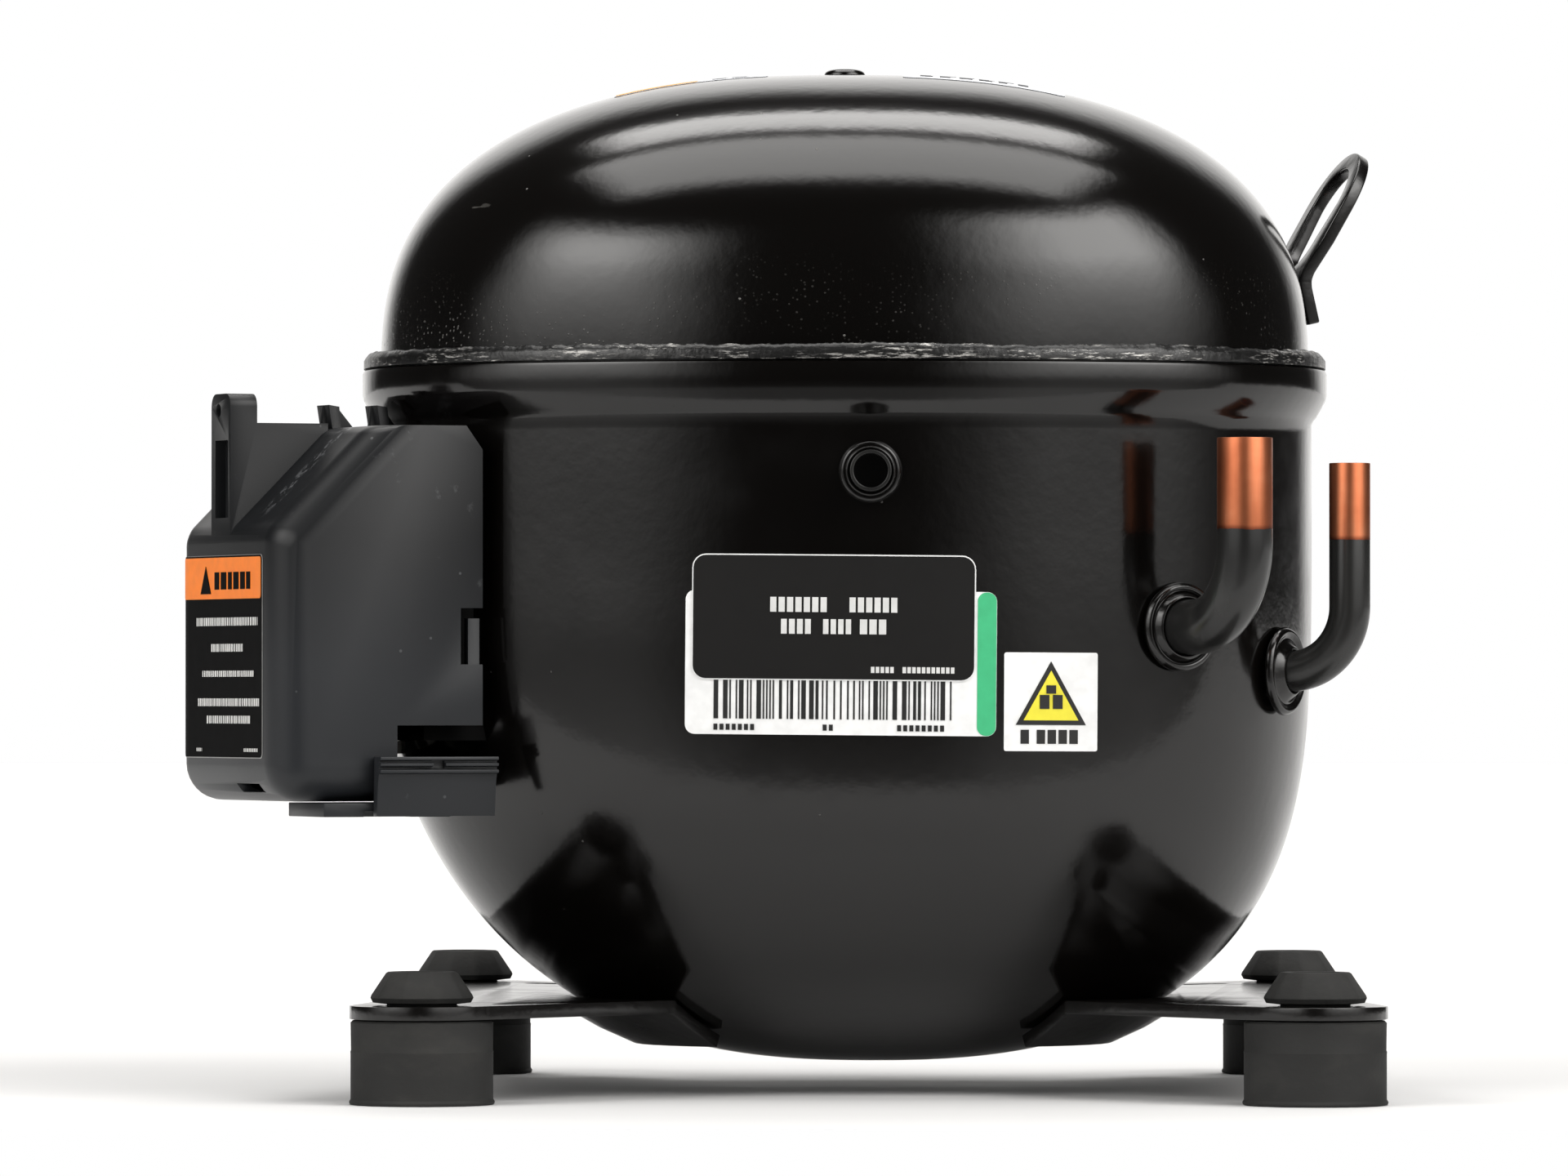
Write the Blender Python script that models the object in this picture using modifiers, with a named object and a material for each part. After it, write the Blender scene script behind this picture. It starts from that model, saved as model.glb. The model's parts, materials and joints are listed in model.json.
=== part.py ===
"""Hermetic reciprocating compressor with its pump, motor, terminals, feet and tube stubs.

Lengths are written in millimetres and become metres as each mesh is made. +Z is up, the
floor is Z = 0, the tube stubs and the label side face -Y, and the origin lies on the floor
under the middle of the whole machine.
"""
import math

import bmesh
import bpy
from mathutils import Matrix, Vector

MM = 0.001                  # metres in a millimetre
GAP = 0.3                   # clearance left between touching pieces
MERGE = 0.00001             # metres within which doubled vertices join

# Places of the main axes
FEET_X = 20.8               # middle of the four feet
SHELL_LEAN = -6.6           # how far the shell's rim sits to one side of the feet's middle
PUMP_X = FEET_X + SHELL_LEAN

# Shell
SHELL_HALF = 110.5          # half length of the lower shell, along X
SHELL_NARROW = 0.83         # its half width over its half length
SHELL_POWER = 2.4           # squareness of its plan
SHELL_WALL = 3.0
SHELL_STEPS = 48
BOWL_BOTTOM = 6.6
BOWL_TOP = 118.0            # height where the bowl meets the upright wall
BOWL_POWER = 2.55
WALL_TOP = 157.0            # height where the rim starts to flare
RIM_HALF = 114.1
RIM_TOP = 169.5
DOME_HALF = 109.7
DOME_FOOT = 170.0
DOME_HEIGHT = 69.5
DOME_POWER = 2.5
SKIRT_FOOT = 163.6

# Feet and base plates
FOOT_PITCH = 203.2          # both ways, centre to centre
FOOT_RADIUS = 16.25
PLATE_TOP = 22.3
PLATE_THICKNESS = 3.0
PLATE_HOLE = 8.5
PLATE_ROUND = 16.5          # radius of the plate around each foot
FLANGE_EDGES = (72.0, 64.0, 56.0)   # half lengths where the plate's welding flange bends
FLANGE_BELOW_BOWL = 2.6     # from the bowl's face to the middle of the flange

# Tube stubs: bearing of the shell's normal, height, tube radius, wall
SUCTION = {"bearing": -55.0, "height": 108.6, "radius": 6.35, "wall": 1.0, "reach": 26.0,
           "bend": 19.0, "top": 151.7, "collar": 10.3}
DISCHARGE = {"bearing": -26.0, "height": 98.5, "radius": 4.765, "wall": 0.85, "reach": 18.0,
             "bend": 15.0, "top": 146.8, "collar": 10.3}
PROCESS = {"bearing": -89.0, "height": 144.1, "radius": 4.765, "wall": 0.85, "reach": 11.0,
           "collar": 7.25}
TUBE_INSIDE = 12.0          # length of each tube behind the shell's outer face

# Lifting eye
EYE_BEARING = 15.0
EYE_BEND_HEIGHT = 193.5
EYE_WIDTH = 30.0
EYE_TAIL = 12.0
EYE_LENGTH = 33.5
EYE_THICKNESS = 3.0
EYE_RISE = 60.0             # degrees above level
EYE_TAIL_LEAN = 13.0        # degrees off upright, along the dome's side

# Terminal group: u runs outward, v sideways, z up, from the shell's axis
TERMINAL_BEARING = 204.0
TERMINAL_SIDE = 5.5
COVER_SIDE = 0.0
TERMINAL_HEIGHT = 111.0
COVER_BACK = 105.4
COVER_FRONT = 155.9
COVER_HALF = 34.0
COVER_FOOT = 68.5
COVER_TOP = 155.0
COVER_CHAMFER = 24.5
COVER_WALL = 2.2
COVER_ROUND = 8.0

# Pump and motor, about the crank axis
CRANK_THROW = 10.0
CYLINDER_Z = 174.0
BORE_RADIUS = 17.4
PISTON_RADIUS = 17.0
BARREL_BACK = 31.0
BARREL_FACE = 68.0
CROWN_AT_REST = 66.2
JOURNAL_RADIUS = 12.0
PIN_RADIUS = 9.0
WEB_FOOT = 146.5
WEB_TOP = 154.5
PIN_TOP = 186.0
SLIDER = (24.0, 28.0, 18.0)
HEAD_HALF = 28.0
HEAD_BOLT_OFFSET = 22.5
STATOR_HALF = 56.0
STATOR_FOOT = 50.0
STATOR_TOP = 102.0
ROTOR_RADIUS = 32.4
STATOR_BORE = 33.2
SHAFT_RADIUS = 10.0
SPRING_X = 44.0
SPRING_Y = 38.0
SPRING_FOOT = 30.0

FINISHES = {                # colour, roughness, metallic
    "shell_paint": ((0.012, 0.012, 0.013), 0.16, 0.0),
    "weld_bead": ((0.16, 0.16, 0.16), 0.38, 0.7),
    "bracket_paint": ((0.014, 0.014, 0.015), 0.3, 0.0),
    "grommet_rubber": ((0.035, 0.036, 0.037), 0.85, 0.0),
    "copper": ((0.72, 0.33, 0.2), 0.32, 1.0),
    "terminal_plastic": ((0.052, 0.055, 0.058), 0.5, 0.0),
    "relay_plastic": ((0.6, 0.58, 0.52), 0.5, 0.0),
    "zinc_steel": ((0.6, 0.6, 0.58), 0.35, 1.0),
    "spring_steel": ((0.42, 0.42, 0.43), 0.3, 1.0),
    "cast_iron": ((0.2, 0.2, 0.21), 0.6, 0.8),
    "lamination": ((0.3, 0.31, 0.33), 0.45, 0.9),
    "winding": ((0.5, 0.16, 0.05), 0.4, 0.2),
    "aluminium": ((0.75, 0.76, 0.77), 0.4, 1.0),
    "muffler_plastic": ((0.72, 0.68, 0.58), 0.55, 0.0),
    "gasket_fibre": ((0.2, 0.2, 0.17), 0.9, 0.0),
}

for leftover in list(bpy.data.objects):
    bpy.data.objects.remove(leftover)

parts = bpy.data.collections.new("hermetic_compressor")
cutters = bpy.data.collections.new("cutters")
for group in (parts, cutters):
    bpy.context.scene.collection.children.link(group)


# ---------------------------------------------------------------- helpers

def finish(name):
    """Return the named material, made on first use."""
    material = bpy.data.materials.get(name)
    if material is None:
        colour, roughness, metallic = FINISHES[name]
        material = bpy.data.materials.new(name)
        material.use_nodes = True
        shader = material.node_tree.nodes["Principled BSDF"]
        shader.inputs["Base Color"].default_value = (*colour, 1.0)
        shader.inputs["Roughness"].default_value = roughness
        shader.inputs["Metallic"].default_value = metallic
    return material


def at(x=0.0, y=0.0, z=0.0, bearing=0.0):
    """Frame at a place in millimetres, turned about Z by a bearing in degrees."""
    turn = Matrix.Rotation(math.radians(bearing), 4, "Z")
    return Matrix.Translation(Vector((x, y, z)) * MM) @ turn


def lying_along_x(frame):
    """The same frame with its Z axis laid along its old X axis."""
    return frame @ Matrix.Rotation(math.radians(90), 4, "Y")


def add_object(name, data, look, frame):
    """Put data in the scene as a part, or as a hidden cutter when it has no look."""
    obj = bpy.data.objects.new(name, data)
    obj.matrix_world = frame
    if look is None:
        cutters.objects.link(obj)
        obj.hide_render = True
        obj.display_type = "WIRE"
    else:
        data.materials.append(finish(look))
        parts.objects.link(obj)
    return obj


def solid(name, bm, look, frame=Matrix()):
    """Make an object from an edited mesh in millimetres."""
    bmesh.ops.scale(bm, vec=(MM, MM, MM), verts=bm.verts)
    mesh = bpy.data.meshes.new(name)
    bm.to_mesh(mesh)
    bm.free()
    return add_object(name, mesh, look, frame)


def box(name, low, high, look=None, frame=Matrix(), round_by=0.0):
    """Block between two corners, with its edges rounded if asked."""
    low, high = Vector(low), Vector(high)
    bm = bmesh.new()
    bmesh.ops.create_cube(bm, size=1.0)
    bmesh.ops.scale(bm, vec=high - low, verts=bm.verts)
    bmesh.ops.translate(bm, vec=(low + high) / 2, verts=bm.verts)
    if round_by:
        bmesh.ops.bevel(bm, geom=list(bm.edges), offset=round_by, segments=1, affect="EDGES")
    return solid(name, bm, look, frame)


def rod(name, radius, foot, top, look=None, frame=Matrix(), sides=24):
    """Upright cylinder in its frame, between two heights."""
    bm = bmesh.new()
    bmesh.ops.create_cone(bm, cap_ends=True, segments=sides, radius1=radius, radius2=radius,
                          depth=top - foot)
    bmesh.ops.translate(bm, vec=(0, 0, (foot + top) / 2), verts=bm.verts)
    return solid(name, bm, look, frame)


def slab(name, outline, foot, top, look=None, frame=Matrix()):
    """Flat outline, counter-clockwise, raised between two heights of its frame."""
    bm = bmesh.new()
    face = bm.faces.new([bm.verts.new((x, y, foot)) for x, y in outline])
    raised = bmesh.ops.extrude_face_region(bm, geom=[face])["geom"]
    moved = [v for v in raised if isinstance(v, bmesh.types.BMVert)]
    bmesh.ops.translate(bm, vec=(0, 0, top - foot), verts=moved)
    bmesh.ops.recalc_face_normals(bm, faces=bm.faces)
    return solid(name, bm, look, frame)


def side_slab(name, outline, low, high, look=None, frame=Matrix()):
    """Outline in the frame's X-Z plane, given thickness along Y."""
    tip = frame @ Matrix.Rotation(math.radians(90), 4, "X")
    return slab(name, outline, -high, -low, look, tip)


def turned(name, profile, look=None, frame=Matrix(), steps=24):
    """Profile of (radius, height), down its outer side, turned about the frame's Z axis."""
    bm = bmesh.new()
    verts = [bm.verts.new((radius, 0.0, height)) for radius, height in profile]
    for start, end in zip(verts, verts[1:]):
        bm.edges.new((start, end))
    if profile[0][0] > 0.0:
        bm.edges.new((verts[-1], verts[0]))
    obj = solid(name, bm, look, frame)
    screw = obj.modifiers.new("turn", "SCREW")
    screw.angle = math.tau
    screw.steps = screw.render_steps = steps
    screw.use_merge_vertices = True
    screw.merge_threshold = MERGE
    return obj


def wire(name, points, radius, look, frame=Matrix(), resolution=2, capped=True):
    """Round wire or tube skin along points in millimetres."""
    curve = bpy.data.curves.new(name, "CURVE")
    curve.dimensions = "3D"
    curve.bevel_depth = radius * MM
    curve.bevel_resolution = resolution
    curve.use_fill_caps = capped
    spline = curve.splines.new("POLY")
    spline.points.add(len(points) - 1)
    for knot, place in zip(spline.points, points):
        knot.co = (*(Vector(place) * MM), 1.0)
    return add_object(name, curve, look, frame)


def as_mesh(obj, name, look):
    """Replace an object by one holding its evaluated mesh."""
    bpy.context.view_layer.update()
    graph = bpy.context.evaluated_depsgraph_get()
    mesh = bpy.data.meshes.new_from_object(obj.evaluated_get(graph))
    mesh.name = name
    frame = obj.matrix_world.copy()
    bpy.data.objects.remove(obj)
    mesh.materials.clear()
    return add_object(name, mesh, look, frame)


def pipe(name, points, radius, wall, look, frame):
    """Open-ended tube of a given wall along points."""
    obj = as_mesh(wire(name + "_skin", points, radius, look, frame, 4, False), name, look)
    obj.name = name
    thick = obj.modifiers.new("wall", "SOLIDIFY")
    thick.thickness = wall * MM
    thick.offset = -1.0
    return obj


def combine(target, other, operation="DIFFERENCE"):
    """Cut, join or trim the target with a hidden solid."""
    step = target.modifiers.new(operation.lower(), "BOOLEAN")
    step.operation = operation
    step.object = other
    step.solver = "EXACT"


def pivot(name, pieces, x, y, z):
    """Hang pieces on an empty that stands on their joint's axis."""
    empty = bpy.data.objects.new(name, None)
    empty.location = Vector((x, y, z)) * MM
    empty.empty_display_size = 0.02
    parts.objects.link(empty)
    for piece in pieces:
        piece.parent = empty
        piece.matrix_parent_inverse = Matrix.Translation(empty.location).inverted()
    return empty


def arc(cx, cy, radius, start, end, count):
    """Points on a round stretch, angles in degrees."""
    angles = [math.radians(start + (end - start) * i / count) for i in range(count + 1)]
    return [(cx + radius * math.cos(a), cy + radius * math.sin(a)) for a in angles]


# ---------------------------------------------------------------- shell geometry

def axis_x(z):
    """Where the shell's axis stands at a height: centred low down, offset at the rim."""
    t = min(max((z - BOWL_BOTTOM) / 100.0, 0.0), 1.0)
    return FEET_X + SHELL_LEAN * t * t * (3.0 - 2.0 * t)


def plan_point(radius, angle, z):
    """Point of the rounded plan at a size, an angle in radians and a height."""
    c, s = math.cos(angle), math.sin(angle)
    swell = (abs(c) ** SHELL_POWER + abs(s) ** SHELL_POWER) ** (-1.0 / SHELL_POWER)
    return (axis_x(z) + radius * swell * c, SHELL_NARROW * radius * swell * s)


def face_point(bearing, radius, z):
    """Point of the plan whose outward normal has a given bearing."""
    c, s = math.cos(math.radians(bearing)), math.sin(math.radians(bearing))
    bend = 1.0 / (SHELL_POWER - 1.0)
    across = (abs(c) * radius ** SHELL_POWER) ** bend * (1.0 if c > 0 else -1.0)
    deep = radius * SHELL_NARROW
    along = (abs(s) * deep ** SHELL_POWER) ** bend * (1.0 if s > 0 else -1.0)
    size = abs(across / radius) ** SHELL_POWER + abs(along / deep) ** SHELL_POWER
    shrink = size ** (-1.0 / SHELL_POWER)
    return axis_x(z) + across * shrink, along * shrink


def bowl_radius(z):
    """Half length of the lower shell's outer face at a height."""
    drop = max((BOWL_TOP - z) / (BOWL_TOP - BOWL_BOTTOM), 0.0)
    return SHELL_HALF * (1.0 - drop ** BOWL_POWER) ** (1.0 / BOWL_POWER)


def bowl_height(radius):
    """Height of the lower shell's outer face at a half length."""
    share = (radius / SHELL_HALF) ** BOWL_POWER
    return BOWL_TOP - (BOWL_TOP - BOWL_BOTTOM) * (1.0 - share) ** (1.0 / BOWL_POWER)


def dome_radius(z):
    """Half length of the upper shell's outer face at a height."""
    rise = max((z - DOME_FOOT) / DOME_HEIGHT, 0.0)
    return DOME_HALF * (1.0 - rise ** DOME_POWER) ** (1.0 / DOME_POWER)


def bowl_curve(inset, count):
    """Rounded stretch of the lower shell, from its widest ring down to its bottom."""
    half, drop = SHELL_HALF - inset, BOWL_TOP - BOWL_BOTTOM - inset
    turns = [math.radians(90.0 * i / count) for i in range(count + 1)]
    power = 2.0 / BOWL_POWER
    curve = [(half * math.cos(a) ** power, BOWL_TOP - drop * math.sin(a) ** power)
             for a in turns[:-1]]
    return curve + [(0.0, BOWL_TOP - drop)]


def dome_curve(inset, count):
    """Rounded stretch of the upper shell, from its top down to its widest ring."""
    half, rise = DOME_HALF - inset, DOME_HEIGHT - inset
    turns = [math.radians(90.0 * i / count) for i in range(count + 1)]
    power = 2.0 / DOME_POWER
    curve = [(half * math.cos(a) ** power, DOME_FOOT + rise * math.sin(a) ** power)
             for a in turns[:-1]]
    return [(0.0, DOME_FOOT + rise)] + curve[::-1]


def pressed(name, profile, look=None):
    """Turn a profile, then press the round shape to the shell's plan."""
    obj = as_mesh(turned(name + "_round", profile, look, steps=SHELL_STEPS), name, look)
    for vertex in obj.data.vertices:
        x, y, z = vertex.co / MM
        px, py = plan_point(math.hypot(x, y), math.atan2(y, x), z)
        vertex.co = Vector((px, py, z)) * MM
    return obj


def outer_shape(extra):
    """Solid of the closed shell's outside, grown sideways, for trimming what stands on it."""
    bowl = [(r + extra, z) for r, z in bowl_curve(0.0, 10)[:-1]]
    profile = [(0.0, WALL_TOP), (SHELL_HALF + extra, WALL_TOP)] + bowl
    return pressed("shell_outside", profile + [(0.0, BOWL_BOTTOM)])


def inner_shape():
    """Solid of the lower shell's cavity, kept clear of its wall."""
    inset = SHELL_WALL + GAP + 0.2
    profile = [(0.0, WALL_TOP), (SHELL_HALF - inset, WALL_TOP)] + bowl_curve(inset, 6)
    return pressed("shell_inside", profile)


def port_frame(port):
    """Frame on the shell's face with X outward at a tube's centre."""
    x, y = face_point(port["bearing"], bowl_radius(port["height"]), port["height"])
    return at(x, y, port["height"], port["bearing"])


def terminal_frame(offset=TERMINAL_SIDE):
    """Frame of the terminal group: X outward, Z up, origin on the floor."""
    bearing = math.radians(TERMINAL_BEARING)
    side = (-math.sin(bearing) * offset, math.cos(bearing) * offset)
    return at(PUMP_X + side[0], side[1], 0.0, TERMINAL_BEARING)


# ---------------------------------------------------------------- housing

def make_shells():
    """Drawn steel halves: the upper one's skirt sits inside the lower one's flared rim."""
    inner_rim = DOME_HALF + 0.45
    lower = ([(0.0, BOWL_BOTTOM + SHELL_WALL)] + bowl_curve(SHELL_WALL, 6)[-2::-1]
             + [(SHELL_HALF - SHELL_WALL, WALL_TOP), (inner_rim, WALL_TOP + 4.5)]
             + [(inner_rim, RIM_TOP), (RIM_HALF, RIM_TOP), (RIM_HALF, WALL_TOP + 5.5)]
             + [(SHELL_HALF, WALL_TOP)] + bowl_curve(0.0, 10))
    lower_shell = pressed("lower_shell", lower, "shell_paint")
    upper = (dome_curve(0.0, 10) + [(DOME_HALF, SKIRT_FOOT), (DOME_HALF - SHELL_WALL, SKIRT_FOOT)]
             + dome_curve(SHELL_WALL, 6)[::-1])
    pressed("upper_shell", upper, "shell_paint")
    bead_foot = RIM_TOP + GAP + 0.05
    bead = [(inner_rim, bead_foot + 3.5), (inner_rim + 1.3, bead_foot + 3.0),
            (inner_rim + 2.7, bead_foot + 1.7), (RIM_HALF - 0.5, bead_foot),
            (inner_rim, bead_foot)]
    pressed("seam_weld", bead, "weld_bead")
    apex = DOME_FOOT + DOME_HEIGHT + GAP
    plug = [(0.0, apex + 1.3), (3.6, apex + 1.1), (4.85, apex + 0.4), (4.85, apex), (0.0, apex)]
    turned("dome_plug", plug, "shell_paint", at(PUMP_X), 20)

    for port in (SUCTION, DISCHARGE, PROCESS):
        hole = rod("tube_hole", port["radius"] + 0.4, -TUBE_INSIDE, TUBE_INSIDE,
                   frame=lying_along_x(port_frame(port)))
        combine(lower_shell, hole)
    header_hole = rod("header_hole", 12.5, COVER_BACK - 8.0, COVER_BACK + 12.0,
                      frame=lying_along_x(terminal_frame() @ at(z=TERMINAL_HEIGHT)))
    combine(lower_shell, header_hole)


def make_lifting_eye():
    """Stamped strap: a tail flat on the dome's side, bent out into a ring."""
    width, length, tail = EYE_WIDTH / 2, EYE_LENGTH, EYE_TAIL
    neck = width * 0.8
    crown = length - width
    outline = [(-tail, -neck), (-1.5, -neck), (crown * 0.5, -width)]
    outline += arc(crown, 0.0, width, -90, 90, 10)
    outline += [(crown * 0.5, width), (-1.5, neck), (-tail, neck)]
    hole = arc(crown + 0.5, 0.0, width - 5.0, -90, 90, 8) + arc(9.0, 0.0, width - 7.0, 90, 270, 8)
    plate = slab("eye_plate", outline, -EYE_THICKNESS / 2, EYE_THICKNESS / 2, "bracket_paint")
    combine(plate, slab("eye_hole", hole, -EYE_THICKNESS, EYE_THICKNESS))
    eye = as_mesh(plate, "lifting_eye", "bracket_paint")

    bm = bmesh.new()
    bm.from_mesh(eye.data)
    bend_start, bend_end = 2.0 * MM, -4.0 * MM
    for step in range(4):
        cut_x = bend_start + (bend_end - bend_start) * step / 3
        bmesh.ops.bisect_plane(bm, geom=bm.verts[:] + bm.edges[:] + bm.faces[:],
                               plane_co=(cut_x, 0, 0), plane_no=(1, 0, 0), dist=1e-7)
    fold = math.radians(90.0 - EYE_RISE + EYE_TAIL_LEAN)
    radius = (bend_start - bend_end) / fold
    for vert in bm.verts:
        run = min(max((bend_start - vert.co.x) / (bend_start - bend_end), 0.0), 1.0)
        if run > 0.0:
            angle, spare = fold * run, min(vert.co.x - bend_end, 0.0)
            reach = radius + vert.co.z
            vert.co.x = bend_start - reach * math.sin(angle) + spare * math.cos(angle)
            vert.co.z = reach * math.cos(angle) - radius + spare * math.sin(angle)
    bm.to_mesh(eye.data)
    bm.free()

    x, y = face_point(EYE_BEARING, dome_radius(EYE_BEND_HEIGHT - 4.0), EYE_BEND_HEIGHT)
    stand = EYE_THICKNESS / 2 + 0.9
    out = Vector((math.cos(math.radians(EYE_BEARING)), math.sin(math.radians(EYE_BEARING))))
    eye.matrix_world = (at(x + stand * out.x, y + stand * out.y, EYE_BEND_HEIGHT, EYE_BEARING)
                        @ Matrix.Rotation(math.radians(-EYE_RISE), 4, "Y"))


def make_base_plate(name, side):
    """Wing that carries the two feet of one side and is welded under the bowl."""
    foot = FOOT_PITCH / 2
    tip = (45.0, 59.0)
    lean = math.atan2(foot - tip[1], foot - tip[0])
    reach = math.hypot(foot - tip[0], foot - tip[1])
    start = math.degrees(lean + math.pi - math.acos(PLATE_ROUND / reach))
    quarter = [tip] + arc(foot, foot, PLATE_ROUND, start, 0.0, 8)
    quarter += [(foot + 11.5, 62.0), (foot + 10.0, 24.0)]
    outline = [(x, -y) for x, y in quarter] + quarter[::-1]

    bm = bmesh.new()
    middle = PLATE_TOP - PLATE_THICKNESS / 2
    around = [bm.verts.new((FEET_X + side * x, y, middle)) for x, y in outline]
    rows = []
    sweep = [math.radians(53.0 - 106.0 * i / 14) for i in range(15)]
    turns = [angle if side > 0 else math.pi - angle for angle in sweep]
    for radius in FLANGE_EDGES:
        z = min(middle, bowl_height(radius) - FLANGE_BELOW_BOWL)
        rows.append([bm.verts.new((*plan_point(radius, angle, z), z)) for angle in turns])
    bm.faces.new(around + rows[0])
    for upper, lower in zip(rows, rows[1:]):
        for i in range(len(upper) - 1):
            bm.faces.new((upper[i], upper[i + 1], lower[i + 1], lower[i]))
    bmesh.ops.recalc_face_normals(bm, faces=bm.faces)
    plate = solid(name, bm, "bracket_paint")
    thick = plate.modifiers.new("thickness", "SOLIDIFY")
    thick.thickness = PLATE_THICKNESS * MM
    thick.offset = 0.0
    thick.use_even_offset = True
    for end in (-1, 1):
        centre = at(FEET_X + side * foot, end * foot)
        combine(plate, rod("grommet_hole", PLATE_HOLE, 0.0, 40.0, frame=centre))
        bearing = math.degrees(math.atan2(end * (foot - tip[1]), side * (foot - tip[0])))
        slot = arc(4.5, 0.0, 3.2, -90, 90, 6) + arc(-4.5, 0.0, 3.2, 90, 270, 6)
        place = at(FEET_X + side * (foot - 22.0), end * (foot - 16.5), 0.0, bearing)
        combine(plate, slab("plate_slot", slot, 10.0, 40.0, frame=place))


def make_feet():
    """Rubber grommets: a broad foot below the plate, a neck through it and a cap above."""
    cap_foot = PLATE_TOP + GAP
    neck_foot = PLATE_TOP - PLATE_THICKNESS - GAP
    bore, neck = 5.3, 8.0
    profile = [(bore, 30.0), (7.25, 30.0), (11.8, cap_foot + 2.6), (11.8, cap_foot),
               (neck, cap_foot), (neck, neck_foot), (FOOT_RADIUS, neck_foot),
               (FOOT_RADIUS, 0.8), (FOOT_RADIUS + 0.35, 0.0), (bore, 0.0)]
    for x_name, x_side in (("left", -1), ("right", 1)):
        for y_name, y_side in (("front", -1), ("rear", 1)):
            centre = at(FEET_X + x_side * FOOT_PITCH / 2, y_side * FOOT_PITCH / 2)
            turned(f"foot_grommet_{y_name}_{x_name}", profile, "grommet_rubber", centre, 20)


def make_tubes():
    """Copper stubs through the wall, each with a brazed collar on the shell's face."""
    for name, port in (("suction", SUCTION), ("discharge", DISCHARGE)):
        straight = port["reach"] - port["bend"]
        rise = port["top"] - port["height"]
        path = [(-TUBE_INSIDE, 0, 0), (straight - 1.0, 0, 0)]
        path += [(x, 0, z) for x, z in arc(straight, port["bend"], port["bend"], -90, 0, 7)]
        pipe(f"{name}_tube", path + [(port["reach"], 0, rise)], port["radius"], port["wall"],
             "copper", port_frame(port))
    pipe("process_tube", [(-TUBE_INSIDE, 0, 0), (PROCESS["reach"], 0, 0)], PROCESS["radius"],
         PROCESS["wall"], "copper", port_frame(PROCESS))
    for name, port in (("suction", SUCTION), ("discharge", DISCHARGE), ("process", PROCESS)):
        inner, outer = port["radius"] + 0.35, port["collar"]
        ring = [(inner, 4.2), (inner + 1.2, 4.2), (outer - 1.2, 2.9), (outer, 1.7),
                (outer, 0.95), (inner, 0.95)]
        turned(f"{name}_collar", ring, "bracket_paint", lying_along_x(port_frame(port)), 16)


# ---------------------------------------------------------------- terminal group

def make_terminals():
    """Fence, glass-sealed header, its three pins, the start relay and the overload cut-out."""
    frame = terminal_frame()
    foot, top, half, thick = 82.5, 139.5, 21.0, 1.5
    fence = box("terminal_fence", (98.0, -half, foot), (117.0, half, top), "bracket_paint", frame)
    combine(fence, box("fence_inside", (90.0, thick - half, foot + thick),
                       (120.0, half - thick, top - thick), frame=frame))
    combine(fence, outer_shape(0.4))
    screw_frame = frame @ at(113.5, -12.0)
    combine(fence, rod("screw_hole", 2.4, 78.0, 90.0, frame=screw_frame, sides=12))
    screw = [(0.0, 92.0), (2.0, 91.5), (2.0, foot - GAP), (4.2, foot - GAP), (4.2, foot - 3.2),
             (0.0, foot - 3.2)]
    turned("ground_screw", screw, "zinc_steel", screw_frame, 12)

    axis = lying_along_x(frame @ at(z=TERMINAL_HEIGHT))
    cup = [(0.0, 114.2), (13.0, 114.2), (14.6, 113.4), (14.6, 112.0), (12.0, 112.0),
           (12.0, 104.0), (10.4, 104.0), (10.4, 109.5), (0.0, 109.5)]
    header = turned("hermetic_terminal", cup, "zinc_steel", axis, 28)
    relay = box("start_relay", (119.0, -15.0, 98.0), (142.0, 15.0, 134.0), "relay_plastic",
                frame, 1.5)
    pin = [(0.0, 126.0), (1.6, 125.4), (1.6, 114.9), (3.0, 114.5), (3.0, 109.0), (1.6, 108.6),
           (1.6, 100.0), (0.0, 100.0)]
    for name, angle in (("common", 90), ("start", 210), ("run", 330)):
        side = (6.2 * math.cos(math.radians(angle)), 6.2 * math.sin(math.radians(angle)))
        pin_frame = lying_along_x(frame @ at(0.0, side[0], TERMINAL_HEIGHT + side[1]))
        turned(f"terminal_pin_{name}", pin, "zinc_steel", pin_frame, 12)
        combine(header, rod("pin_seat", 3.35, 100.0, 120.0, frame=pin_frame, sides=12))
        combine(relay, rod("pin_socket", 2.1, 110.0, 128.0, frame=pin_frame, sides=12))
    can = [(0.0, 137.0), (9.0, 137.0), (11.5, 135.5), (11.5, 124.0), (12.6, 123.6), (12.6, 121.5),
           (0.0, 121.5)]
    turned("overload_protector", can, "zinc_steel", lying_along_x(frame @ at(z=84.8)), 20)


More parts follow.
